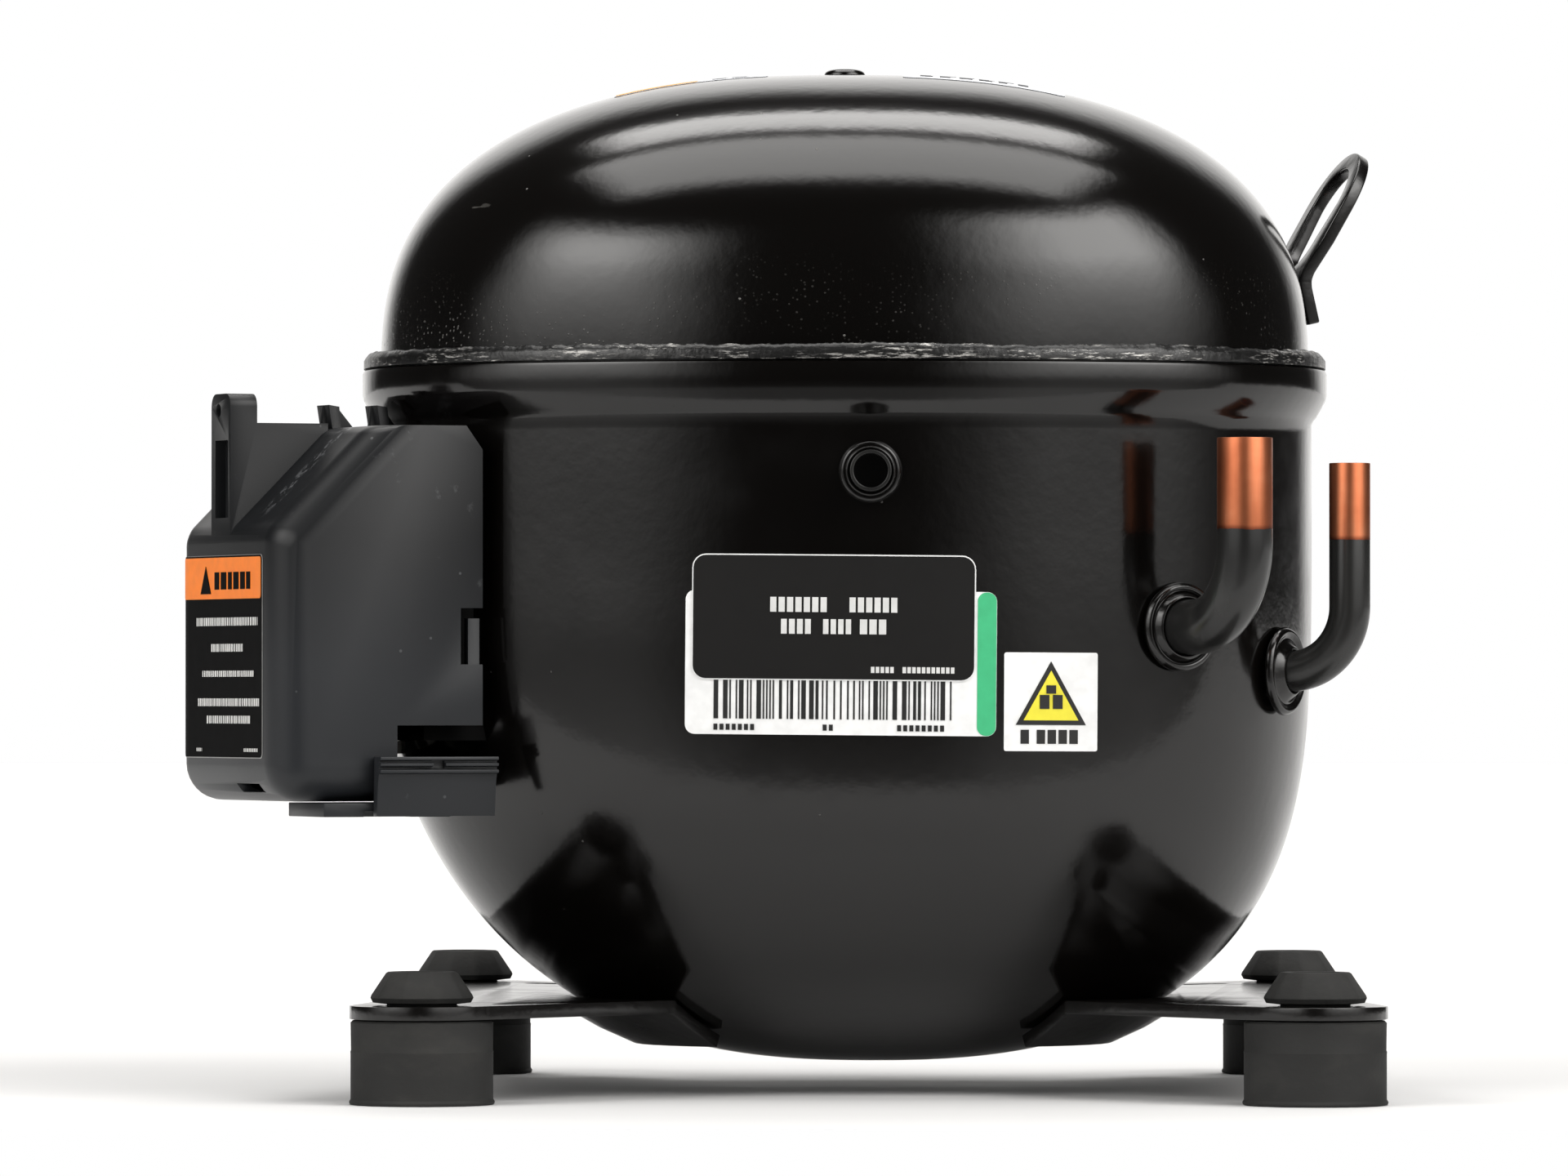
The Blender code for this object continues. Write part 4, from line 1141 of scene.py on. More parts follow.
@dataclass
class Grommet:
    """Rubber foot: a broad base under the plate and a faceted cap above it."""

    node: str
    facets: int = 10

    def build(self, look: bpy.types.Material) -> None:
        """Turn the foot from its profile and facet its cap.

        Args:
            look: the rubber that all four share.
        """
        low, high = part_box(self.node)
        radius = (high.x - low.x) / 2 / MM
        top = (high.z - low.z) / MM
        base, neck, bore = radius - 0.35, 8.0, 5.3
        profile = [(bore, top - 0.4), (bore + 0.4, top), (7.7, top), (8.2, top - 0.3),
                   (11.55, top - 5.3), (11.75, top - 5.9), (11.2, top - 7.0), (neck, top - 7.35),
                   (neck, 19.0), (base - 0.5, 19.0), (base, 18.5), (base - 0.1, 12.2),
                   (base + 0.05, 11.9), (base, 11.4), (base, 1.1), (radius, 0.5),
                   (radius - 0.1, 0.0), (bore, 0.0)]
        spot = Matrix.Translation(Vector(((low.x + high.x) / 2, (low.y + high.y) / 2, low.z)))
        foot = Bench.turned(self.node + "_rubber", profile, 80)
        for vertex in foot.data.vertices:
            x, y, z = vertex.co / MM
            size = math.hypot(x, y)
            if z > top - 7.1 and size > bore + 1.0:
                sector = math.tau / self.facets
                local = (math.atan2(y, x) % sector) - sector / 2
                flat = math.cos(sector / 2) / math.cos(local)
                share = 0.75 * min(1.0, (size - bore - 1.0) / 2.0)
                vertex.co.x *= 1.0 + (flat - 1.0) * share
                vertex.co.y *= 1.0 + (flat - 1.0) * share
        foot.data.transform(spot)
        Bench.smooth(foot, 28.0)
        place(foot, "housing", "grommet_rubber", look, self.node)


@dataclass
class SoftCopy:
    """A frame node's own shape with its edges rounded off."""

    node: str
    body: str
    slot: str
    edge: float = 0.5
    segments: int = 3
    sharp: float = 28.0

    def build(self, look: bpy.types.Material) -> bpy.types.Object:
        """Copy the node, round its edges and place it.

        Args:
            look: its material.

        Returns:
            The placed piece.
        """
        piece = Bench.copy_node(self.node, self.node + "_finished")
        Bench.apply(piece, "BEVEL", width=self.edge * MM, segments=self.segments,
                    limit_method="ANGLE", angle_limit=math.radians(self.sharp),
                    use_clamp_overlap=True, harden_normals=False)
        Bench.smooth(piece, 32.0)
        place(piece, self.body, self.slot, look, self.node)
        return piece


# ------------------------------------------------------------------ labels

@dataclass
class ShellLabel:
    """Flat films laid on the front of the lower shell."""

    form: ShellForm
    centre: Pair
    tilt: float = 0.0

    def lay(self, obj: bpy.types.Object, lift: float) -> None:
        """Wrap a film drawn flat in X-Z round the shell's front, in millimetres.

        Args:
            obj: the film.
            lift: height of its back above the paint.
        """
        turn = math.radians(self.tilt)
        for vertex in obj.data.vertices:
            u, lift_here, w = vertex.co / MM
            x = self.centre[0] + u * math.cos(turn) - w * math.sin(turn)
            z = self.centre[1] + u * math.sin(turn) + w * math.cos(turn)
            y = self.form.front_y(x, z)
            slope = (self.form.front_y(x + 0.5, z) - y) / 0.5
            out = Vector((slope, -1.0, 0.0)).normalized()
            vertex.co = (Vector((x, y, z)) + out * (lift + lift_here)) * MM
        Bench.turn_out(obj)

    def film(self, name: str, low: Pair, high: Pair, look: bpy.types.Material, lift: float,
             corner: float = 0.0) -> None:
        """One rectangle of film, with rounded corners if asked.

        Args:
            name: the piece's name.
            low: lower left corner about the label's centre.
            high: upper right corner.
            look: its print.
            lift: height of its back above the paint.
            corner: corner radius.
        """
        piece = flat_film(name, low, high, corner)
        self.lay(piece, lift)
        Bench.smooth(piece, 50.0)
        place(piece, "housing", "label_film", look)

    def bars(self, name: str, rows: Iterable[tuple[float, float, list[Pair]]],
             look: bpy.types.Material, lift: float) -> None:
        """Rows of upright bars as one film.

        Args:
            name: the piece's name.
            rows: foot, top and the (start, end) of each bar.
            look: its print.
            lift: height of its back above the paint.
        """
        strips = []
        for foot, top, spans in rows:
            strips += [flat_film(f"{name}_{len(strips)}_{i}", (a, foot), (b, top), 0.0, 12.0)
                       for i, (a, b) in enumerate(spans)]
        piece = joined(name, strips)
        self.lay(piece, lift)
        place(piece, "housing", "label_film", look)


def flat_film(name: str, low: Pair, high: Pair, corner: float = 0.0,
              cell: float = 4.0) -> bpy.types.Object:
    """Thin sheet in the X-Z plane, cut into cells so that it can follow a curve.

    Args:
        name: the piece's name.
        low: lower left corner in millimetres.
        high: upper right corner.
        corner: corner radius.
        cell: largest cell along X.

    Returns:
        The sheet, its back at Y = 0 and its thickness in millimetres towards +Y.
    """
    Bench.deselect()
    bpy.ops.mesh.primitive_plane_add(size=1.0)
    obj = bpy.context.active_object
    obj.name = obj.data.name = name
    width, height = high[0] - low[0], high[1] - low[1]
    middle = ((low[0] + high[0]) / 2, (low[1] + high[1]) / 2)
    for vertex in obj.data.vertices:
        x, y, _ = vertex.co
        vertex.co = Vector((middle[0] + x * width, 0.0, middle[1] + y * height)) * MM
    Bench.edit(True)
    bpy.ops.mesh.select_all(action="SELECT")
    if corner:
        bpy.ops.mesh.bevel(offset=corner * MM, segments=6, affect="VERTICES")
    cut_cells((low[0], high[0]), 0, cell)
    cut_cells((low[1], high[1]), 2, cell)
    bpy.ops.mesh.select_all(action="SELECT")
    Bench.thicken((0.0, FILM, 0.0))
    Bench.edit(False)
    return obj


def cut_cells(span: Pair, axis: int, cell: float) -> None:
    """Cut the sheet in edit mode into even cells along one axis.

    Args:
        span: where the sheet starts and ends, in millimetres.
        axis: 0 for X or 2 for Z.
        cell: largest cell.
    """
    count = round((span[1] - span[0]) / cell)
    for i in range(1, count):
        spot = [0.0, 0.0, 0.0]
        spot[axis] = (span[0] + (span[1] - span[0]) * i / count) * MM
        bpy.ops.mesh.select_all(action="SELECT")
        bpy.ops.mesh.bisect(plane_co=spot, plane_no=[float(a == axis) for a in range(3)])


def joined(name: str, pieces: Sequence[bpy.types.Object]) -> bpy.types.Object:
    """Join some meshes into one piece.

    Args:
        name: the joined piece's name.
        pieces: the meshes.

    Returns:
        The joined piece.
    """
    Bench.pick(pieces[0])
    for piece in pieces:
        piece.select_set(True)
    bpy.ops.object.join()
    pieces[0].name = pieces[0].data.name = name
    return pieces[0]


def triangle(name: str, centre: Pair, height: float) -> bpy.types.Object:
    """Plain upright triangle of film in the X-Z plane.

    Args:
        name: the piece's name.
        centre: middle of its height.
        height: its height.

    Returns:
        The flat film.
    """
    half = height * 0.55
    points = [(centre[0] - half, 0.0, centre[1] - height / 2),
              (centre[0] + half, 0.0, centre[1] - height / 2),
              (centre[0], 0.0, centre[1] + height / 2)]
    obj = Bench.chain(name, points, True)
    bpy.ops.mesh.edge_face_add()
    cut_cells((centre[0] - half, centre[0] + half), 0, 2.0)
    bpy.ops.mesh.select_all(action="SELECT")
    Bench.thicken((0.0, FILM, 0.0))
    Bench.edit(False)
    return obj


@dataclass
class ShellLabels:
    """The films on the front of the lower shell and on top of the dome."""

    form: ShellForm
    feet_x: float

    def build(self) -> None:
        """Lay the maker's plate, the notice over it and the small warning square."""
        white = Film("label_white", (0.93, 0.935, 0.93)).material()
        green = Film("label_green", (0.055, 0.50, 0.22)).material()
        black = Film("label_black", (0.0065, 0.0062, 0.006), 0.55, 0.22).material()
        ink = Film("label_ink", (0.015, 0.015, 0.015)).material()
        yellow = Film("label_yellow", (0.90, 0.80, 0.05)).material()
        plate = ShellLabel(self.form, (self.feet_x - 6.4, 100.2), -0.5)
        plate.film("plate_label", (-35.6, -16.4), (35.6, 16.6), white, 0.05, 2.2)
        plate.film("plate_label_stripe", (31.2, -16.3), (35.5, 16.5), green, 0.17, 2.0)
        rng = random.Random(11)
        runs = []
        for start, end in ((-29.0, -4.2), (4.2, 25.5)):
            spot = start
            while spot < end:
                width = rng.choice((0.35, 0.35, 0.7, 1.05))
                runs.append((spot, spot + width))
                spot += width + rng.choice((0.4, 0.4, 0.75, 1.1))
        middle = [(a + 0.3, a + 0.7) for a in (-3.6, -1.9, -0.4, 1.2, 2.6)]
        plate.bars("plate_label_bars", [(-12.8, -3.6, runs + middle)], ink, 0.17)
        dots = [(a, a + 0.9) for a in (-29.0, -27.6, -26.2, -24.8, -23.4, -22.0, -20.6)]
        dots += [(a, a + 0.9) for a in (-4.0, -2.6)]
        dots += [(a, a + 0.9) for a in (13.0, 14.4, 15.8, 17.2, 18.6, 20.0, 21.4, 22.8)]
        plate.bars("plate_label_ticks", [(-15.4, -14.0, dots)], ink, 0.17)
        notice = ShellLabel(self.form, (self.feet_x - 8.0, 110.7), -0.5)
        notice.film("notice_label_edge", (-32.4, -14.4), (32.4, 14.4), white, 0.30, 3.2)
        notice.film("notice_label", (-32.1, -14.1), (32.1, 14.1), black, 0.42, 2.9)
        words = [(1.2, 4.6, -14.5, -1.6), (1.2, 4.6, 3.6, 14.5), (-3.8, -0.4, -12.0, -5.2),
                 (-3.8, -0.4, -2.4, 4.0), (-3.8, -0.4, 6.0, 12.0)]
        rows = []
        for foot, top, start, end in words:
            count = round((end - start) / 1.75)
            step = (end - start + 0.5) / count
            rows.append((foot, top, [(start + i * step, start + i * step + step - 0.5)
                                     for i in range(count)]))
        rows.append((-12.6, -11.2, [(8.6 + i * 1.1, 9.4 + i * 1.1) for i in range(5)]))
        rows.append((-12.6, -11.2, [(15.8 + i * 1.1, 16.6 + i * 1.1) for i in range(11)]))
        plain = Film("label_print", (0.72, 0.72, 0.71)).material()
        notice.bars("notice_label_print", rows, plain, 0.54)
        square = ShellLabel(self.form, (self.feet_x + 41.6, 91.4), -0.3)
        square.film("warning_label", (-10.7, -11.3), (10.7, 11.3), white, 0.05, 0.5)
        for name, size, look, lift in (("warning_label_border", 14.6, ink, 0.17),
                                       ("warning_label_field", 11.4, yellow, 0.29)):
            mark = triangle(name, (0.0, 2.0 - (14.6 - size) / 6.0), size)
            square.lay(mark, lift)
            place(mark, "housing", "label_film", look)
        square.bars("warning_label_mark", [(-1.6, 1.6, [(-2.6, -0.4), (0.4, 2.6)]),
                                           (1.9, 3.8, [(-1.1, 1.1)])], ink, 0.41)
        square.bars("warning_label_print",
                    [(-9.6, -6.4, [(-6.9, -5.0), (-3.2, -1.3), (-0.7, 1.2), (1.8, 3.7),
                                   (4.3, 6.2)])], ink, 0.17)
        self.dome_labels()

    @staticmethod
    def dome_rows(name: str, corner: Pair, columns: int, rng: random.Random) -> bpy.types.Object:
        """Six rows of short bars for a film on the dome.

        Args:
            name: the piece's name.
            corner: the first bar's lower left corner.
            columns: bars in a row.
            rng: where each bar's length comes from.

        Returns:
            The bars as one flat piece.
        """
        bars = []
        for i in range(columns * 6):
            x, z = corner[0] + 4.6 * (i % columns), corner[1] + 6.4 * (i // columns)
            bars.append(flat_film("bar", (x, z), (x + rng.uniform(2.0, 4.0), z + 2.2), 0.0, 2.0))
        return joined(name, bars)

    def dome_labels(self) -> None:
        """Two films lying on top of the dome."""
        orange = Film("dome_film_orange", (0.90, 0.45, 0.08)).material()
        pale = Film("dome_film_pale", (0.80, 0.82, 0.86)).material()
        ink = Film("dome_film_ink", (0.02, 0.02, 0.025)).material()
        rng = random.Random(5)
        films = [(flat_film(name, low, high, 1.5), look, lift) for name, low, high, look, lift in (
            ("dome_label", (-54.0, -22.0), (-18.0, 24.0), pale, 0.06),
            ("dome_label_band", (-53.6, -21.6), (-34.5, 23.6), orange, 0.18),
            ("dome_plate_label", (14.0, -28.0), (52.0, 26.0), pale, 0.06))]
        films.append((self.dome_rows("dome_label_lines", (-31.0, -17.0), 2, rng), ink, 0.18))
        films.append((self.dome_rows("dome_plate_lines", (18.0, -23.0), 6, rng), ink, 0.18))
        for piece, look, lift in films:
            for vertex in piece.data.vertices:
                u, thick, w = vertex.co / MM
                x, y = self.form.rim_x + u, w
                top = self.form.dome_z(x, y)
                slope = Vector((top - self.form.dome_z(x + 0.5, y),
                                top - self.form.dome_z(x, y + 0.5), 0.5)).normalized()
                vertex.co = (Vector((x, y, top)) + slope * (lift + thick)) * MM
            Bench.turn_out(piece)
            Bench.smooth(piece, 50.0)
            place(piece, "housing", "label_film", look)


# ------------------------------------------------------------------ terminal cover

@dataclass
class TerminalCover:
    """Moulded cover over the terminals, with its latch tab, hooks and openings."""

    form: ShellForm
    origin_x: float = 14.2
    bearing: float = 204.0
    back: float = 105.4
    front: float = 155.9
    half: float = 34.0
    foot: float = 68.5
    top: float = 155.0
    chamfer: float = 24.5
    corner: float = 8.5
    shoulder: float = 2.5
    wall: float = 2.2

    def frame(self) -> Matrix:
        """Frame of the cover: X away from the shell, Z up, origin on the floor."""
        spot = Matrix.Translation(Vector((self.origin_x, 0.0, 0.0)) * MM)
        return spot @ Matrix.Rotation(math.radians(self.bearing), 4, "Z")

    def tub(self) -> bpy.types.Object:
        """The cover's main moulding: extruded, rounded, opened at the back and hollowed.

        Returns:
            The hollow moulding, in the cover's frame.
        """
        shoulder = self.top - self.chamfer
        side = [(self.back, self.foot), (self.front, self.foot), (self.front, shoulder),
                (self.front - self.chamfer, self.top), (self.back + 4.0, self.top),
                (self.back, self.top - 5.5)]
        tub = Bench.chain("terminal_cover_moulding", [(u, -self.half, z) for u, z in side], True)
        bpy.ops.mesh.edge_face_add()
        Bench.thicken((0.0, 2.0 * self.half, 0.0))
        for radius, wanted in ((self.corner, self.is_corner), (self.shoulder, self.is_shoulder)):
            Bench.select_edges(tub, wanted)
            bpy.ops.mesh.bevel(offset=radius * MM, segments=8, profile=0.5)
        Bench.select_faces(tub, lambda f: all(v.x < (self.back + 0.01) * MM for v in f))
        bpy.ops.mesh.delete(type="ONLY_FACE")
        Bench.edit(False)
        Bench.apply(tub, "SOLIDIFY", thickness=self.wall * MM, offset=-1.0, use_even_offset=True)
        return tub

    def is_corner(self, a: Vector, b: Vector) -> bool:
        """Whether an edge is one of the large rounds at the front and the foot.

        Args:
            a: one end.
            b: the other end.

        Returns:
            True for such an edge.
        """
        along = abs(a.y - b.y) > MM
        outer = max(a.x, b.x) > (self.back + 5.0) * MM
        if along:
            return max(a.z, b.z) < (self.foot + 1.0) * MM and a.x > (self.back + 1.0) * MM
        return outer and min(a.z, b.z) < (self.top - 1.0) * MM

    def is_shoulder(self, a: Vector, b: Vector) -> bool:
        """Whether an edge is a small round along the sloping top."""
        along = abs(a.y - b.y) > MM
        return along and min(a.z, b.z) > (self.foot + 40.0) * MM and a.x > (self.back + 9) * MM

    def rib(self, name: str, outline: Sequence[Pair], low: float, high: float,
            edge: float = 0.0) -> bpy.types.Object:
        """Slab whose side outline is in (u, z), between two places along the cover.

        Args:
            name: the slab's name.
            outline: its corners in order.
            low: where it starts.
            high: where it ends.
            edge: radius of the round on its top edges.

        Returns:
            The slab.
        """
        slab = Bench.chain(name, [(u, low, z) for u, z in outline], True)
        bpy.ops.mesh.edge_face_add()
        Bench.thicken((0.0, high - low, 0.0))
        if edge:
            top = max(z for _, z in outline)
            Bench.select_edges(slab, lambda a, b: abs(a.y - b.y) < MM * 0.1
                               and min(a.z, b.z) > (top - 0.1) * MM)
            bpy.ops.mesh.bevel(offset=edge * MM, segments=5, profile=0.5)
        Bench.edit(False)
        return slab

    def brick(self, name: str, low: Point, high: Point) -> bpy.types.Object:
        """Block used to cut an opening."""
        outline = [(low[0], low[2]), (high[0], low[2]), (high[0], high[2]), (low[0], high[2])]
        return self.rib(name, outline, low[1], high[1])

    def build(self, look: bpy.types.Material) -> None:
        """Make the moulding with all its features and place it.

        Args:
            look: the cover's plastic.
        """
        back, front, shoulder = self.back, self.front, self.top - self.chamfer
        cover = self.tub()
        outline = [(front - 0.4, shoulder - 2.5), (front - 0.4, 162.8), (front - 7.0, 162.8),
                   (front - 7.0, 156.0), (front - self.chamfer, 156.0),
                   (front - self.chamfer, self.top - 1.2)]
        Bench.merge(cover, self.rib("latch_tab", outline, -11.0, 1.9, 3.0), "UNION")
        for start in (110.5, 122.5):
            fin = [(start, self.top - 1.0), (start + 9.0, self.top - 1.0),
                   (start + 8.2, self.top + 5.4), (start + 5.0, self.top + 5.0)]
            Bench.merge(cover, self.rib("hook_web", fin, -4.4, -2.6), "UNION")
            leaf = [(start + 5.0, self.top - 1.0), (start + 7.2, self.top - 1.0),
                    (start + 8.2, self.top + 5.4), (start + 5.6, self.top + 5.0)]
            Bench.merge(cover, self.rib("hook_leaf", leaf, -7.5, 0.5), "UNION")
        Bench.merge(cover, self.brick("tab_groove", (front - 3.0, -8.4, 134.0),
                                      (front + 1.0, 0.4, 152.0)))
        Bench.deselect()
        bpy.ops.mesh.primitive_cylinder_add(
            vertices=32, radius=1.6 * MM, depth=9.0 * MM, rotation=(0.0, math.radians(90.0), 0.0),
            location=Vector((front - 3.5, -6.2, 158.9)) * MM)
        hole = bpy.context.active_object
        hole.name = "tab_hole"
        bpy.ops.object.transform_apply(location=True, rotation=True, scale=True)
        Bench.merge(cover, hole)
        Bench.merge(cover, self.brick("drain_slot", (front - 7.5, 4.0, 70.6),
                                      (front + 1.0, 19.0, 72.6)))
        Bench.merge(cover, self.brick("cable_window", (back - 5.0, 25.5, 60.0),
                                      (126.4, 46.0, 86.0)))
        Bench.merge(cover, self.brick("latch_notch", (back - 5.0, 29.5, 100.0),
                                      (back + 5.4, 46.0, 113.0)))
        cover.data.transform(self.frame())
        Bench.merge(cover, self.form.cutter("cover_cutter", 1.6))
        hook = self.brick("latch_hook", (back + 0.6, 31.0, 99.0), (back + 3.4, 33.4, 110.6))
        hook.data.transform(self.frame())
        Bench.merge(cover, hook, "UNION")
        Bench.apply(cover, "BEVEL", width=0.35 * MM, segments=2, limit_method="ANGLE",
                    angle_limit=math.radians(40.0), use_clamp_overlap=True)
        Bench.smooth(cover, 32.0)
        place(cover, "terminal_cover", "terminal_plastic", look, "terminal_cover")

    def build_clamp(self, look: bpy.types.Material) -> None:
        """Cable clamp: a flap with three ribs and a screw hole, and the ledge it hangs from.

        Args:
            look: the cover's plastic.
        """
        flap = [(34.3, 65.2), (36.6, 65.2), (37.3, 72.6), (37.9, 74.9), (39.1, 75.1),
                (39.1, 75.8), (37.9, 76.0), (37.9, 76.5), (39.1, 76.7), (39.1, 77.3), (37.9, 77.5),
                (37.9, 77.9), (39.1, 78.1), (39.0, 78.8), (34.7, 78.8)]
        turn = Matrix.Rotation(math.radians(90.0), 4, "Z")
        clamp = self.rib("cord_clamp_flap", flap, -132.4, -103.4)
        clamp.data.transform(turn)
        Bench.merge(clamp, self.brick("screw_hole", (116.4, 37.0, 76.0), (119.4, 42.0, 78.0)))
        self.finish_small(clamp, "cord_clamp", "cord_clamp", look)
        ledge = self.brick("cord_clamp_ledge", (112.8, 9.5, 65.0), (144.0, 32.9, 68.2))
        notch = self.brick("ledge_notch", (123.0, 28.0, 64.0), (134.0, 34.0, 66.2))
        Bench.merge(ledge, notch)
        self.finish_small(ledge, "terminal_cover", "cord_clamp_base", look)

    def finish_small(self, piece: bpy.types.Object, body: str, node: str,
                     look: bpy.types.Material) -> None:
        """Soften a small moulding's edges, lay it in the cover's frame and place it.

        Args:
            piece: the moulding.
            body: the body it moves with.
            node: the frame node that it stands for.
            look: its plastic.
        """
        Bench.apply(piece, "BEVEL", width=0.25 * MM, segments=2, limit_method="ANGLE",
                    angle_limit=math.radians(40.0), use_clamp_overlap=True)
        piece.data.transform(self.frame())
        Bench.smooth(piece, 32.0)
        place(piece, body, "terminal_plastic", look, node)

    def build_label(self) -> None:
        """Orange and black film on the outer face, with plain bars for its lines."""
        black = Film("cover_film_black", (0.0016, 0.0016, 0.0017), 0.5, 0.03).material()
        orange = Film("cover_film_orange", (0.94, 0.22, 0.012), 0.42).material()
        pale = Film("cover_film_pale", (0.72, 0.72, 0.70), 0.4).material()
        rim = Film("cover_film_rim", (0.42, 0.42, 0.41), 0.45, 0.2).material()
        sheets = [("cover_label_edge", (-28.2, 78.4), (24.7, 125.3), rim, 0.02, 1.3)]
        sheets += [("cover_label", (-28.0, 78.6), (24.5, 125.2), black, 0.14, 1.2)]
        sheets += [("cover_label_band", (-27.6, 115.2), (24.1, 124.8), orange, 0.26, 0.8)]
        for name, low, high, look, lift, corner in sheets:
            piece = flat_film(name, low, high, corner, 2.0)
            self.wrap(piece, lift)
            Bench.smooth(piece, 50.0)
            place(piece, "terminal_cover", "label_film", look)
        lines = [(109.0, 110.9, -19.0, 22.0), (103.0, 104.8, -9.0, 12.0),
                 (97.2, 98.6, -15.0, 20.0), (90.4, 92.2, -18.0, 23.0),
                 (86.4, 88.2, -12.0, 17.5), (79.9, 80.7, -19.0, -15.5), (79.9, 80.7, 13.0, 22.0)]
        rng = random.Random(3)
        strips = []
        for foot, top, start, end in lines:
            spot = start
            while spot < end:
                width = rng.uniform(0.5, 1.0) if top - foot > 1.0 else rng.uniform(0.4, 0.9)
                strips.append(flat_film("bar", (spot, foot), (min(spot + width, end), top)))
                spot += width + rng.uniform(0.45, 0.75)
        self.lay_strips("cover_label_lines", strips, 0.26, pale)
        strips = [flat_film("bar", (a, 117.4), (a + w, 121.4))
                  for a, w in ((-6.5, 3.0), (-2.3, 3.6), (2.6, 2.4), (6.2, 3.4), (10.8, 3.0),
                               (14.8, 2.6))]
        strips.append(triangle("warning_triangle", (-12.5, 119.6), 6.4))
        self.lay_strips("cover_label_mark", strips, 0.38, black)

    def lay_strips(self, name: str, strips: list[bpy.types.Object], lift: float,
                   look: bpy.types.Material) -> None:
        """Join flat strips, wrap them round the cover's front and place them.

        Args:
            name: the piece's name.
            strips: the flat strips.
            lift: height above the plastic.
            look: their print.
        """
        piece = joined(name, strips)
        self.wrap(piece, lift)
        place(piece, "terminal_cover", "label_film", look)

    def wrap(self, piece: bpy.types.Object, lift: float) -> None:
        """Fold a film drawn in X-Z onto the cover's outer face and its near round.

        Args:
            piece: the film.
            lift: height of its back above the plastic.
        """
        flat = self.half - self.corner
        for vertex in piece.data.vertices:
            v, thick, z = vertex.co / MM
            turn = max(abs(v) - flat, 0.0) / self.corner
            out = self.corner + lift + thick
            along = v if turn <= 0.0 else math.copysign(flat + out * math.sin(turn), v)
            reach = out * math.cos(turn) - self.corner
            vertex.co = Vector((self.front + reach, along, z)) * MM
        Bench.turn_out(piece)
        piece.data.transform(self.frame())


# ------------------------------------------------------------------ lifting eye

@dataclass
class LiftingEye:
    """Stamped strap: a tail welded to the dome's side, bent out into a ring."""

    form: ShellForm
    bearing: float = 15.0
    bend_height: float = 193.5
    width: float = 30.0
    length: float = 33.5
    tail: float = 12.0
    thickness: float = 3.0
    rise: float = 60.0
    tail_lean: float = 13.0

    def blank(self) -> bpy.types.Object:
        """Flat blank with its hole, cut across where it bends.

        Returns:
            The blank, lying flat.
        """
        half, neck = self.width / 2, self.width * 0.4
        crown = self.length - half
        outline = [(-self.tail, -neck), (-1.5, -neck), (crown * 0.5, -half)]
        outline += arc((crown, 0.0), half, -90, 90, 36)
        outline += [(crown * 0.5, half), (-1.5, neck), (-self.tail, neck)]
        low = -self.thickness / 2
        plate = Bench.chain("lifting_eye_strap", [(x, y, low) for x, y in outline], True)
        bpy.ops.mesh.edge_face_add()
        Bench.thicken((0.0, 0.0, self.thickness))
        Bench.edit(False)
        hole = arc((crown + 0.5, 0.0), half - 5.0, -90, 90, 28)
        hole += arc((9.0, 0.0), half - 7.0, 90, 270, 24)
        punch = Bench.chain("eye_punch", [(x, y, -self.thickness) for x, y in hole], True)
        bpy.ops.mesh.edge_face_add()
        Bench.thicken((0.0, 0.0, 2 * self.thickness))
        Bench.edit(False)
        Bench.merge(plate, punch)
        Bench.apply(plate, "BEVEL", width=0.45 * MM, segments=3, limit_method="ANGLE",
                    angle_limit=math.radians(50.0))
        Bench.pick(plate)
        Bench.edit(True)
        for step in range(13):
            bpy.ops.mesh.select_all(action="SELECT")
            bpy.ops.mesh.bisect(plane_co=((2.0 - 6.0 * step / 12) * MM, 0.0, 0.0),
                                plane_no=(1.0, 0.0, 0.0))
        Bench.edit(False)
        return plate

    def build(self, look: bpy.types.Material) -> None:
        """Bend the blank, stand it on the dome and place it.

        Args:
            look: the enamel on brackets.
        """
        eye = self.blank()
        start, end = 2.0 * MM, -4.0 * MM
        fold = math.radians(90.0 - self.rise + self.tail_lean)
        radius = (start - end) / fold
        for vertex in eye.data.vertices:
            run = min(max((start - vertex.co.x) / (start - end), 0.0), 1.0)
            if run > 0.0:
                angle, spare = fold * run, min(vertex.co.x - end, 0.0)
                reach = radius + vertex.co.z
                vertex.co.x = start - reach * math.sin(angle) + spare * math.cos(angle)
                vertex.co.z = reach * math.cos(angle) - radius + spare * math.sin(angle)
        size = self.form.dome_half_at(self.bend_height - 4.0)
        x, y = self.form.face_point(self.bearing, size, self.bend_height)
        stand = self.thickness / 2 + 0.9
        turn = math.radians(self.bearing)
        spot = Vector((x + stand * math.cos(turn), y + stand * math.sin(turn),
                       self.bend_height)) * MM
        eye.data.transform(Matrix.Translation(spot) @ Matrix.Rotation(turn, 4, "Z")
                           @ Matrix.Rotation(math.radians(-self.rise), 4, "Y"))
        Bench.smooth(eye, 32.0)
        place(eye, "housing", "bracket_paint", look, "lifting_eye")


# ------------------------------------------------------------------ studio

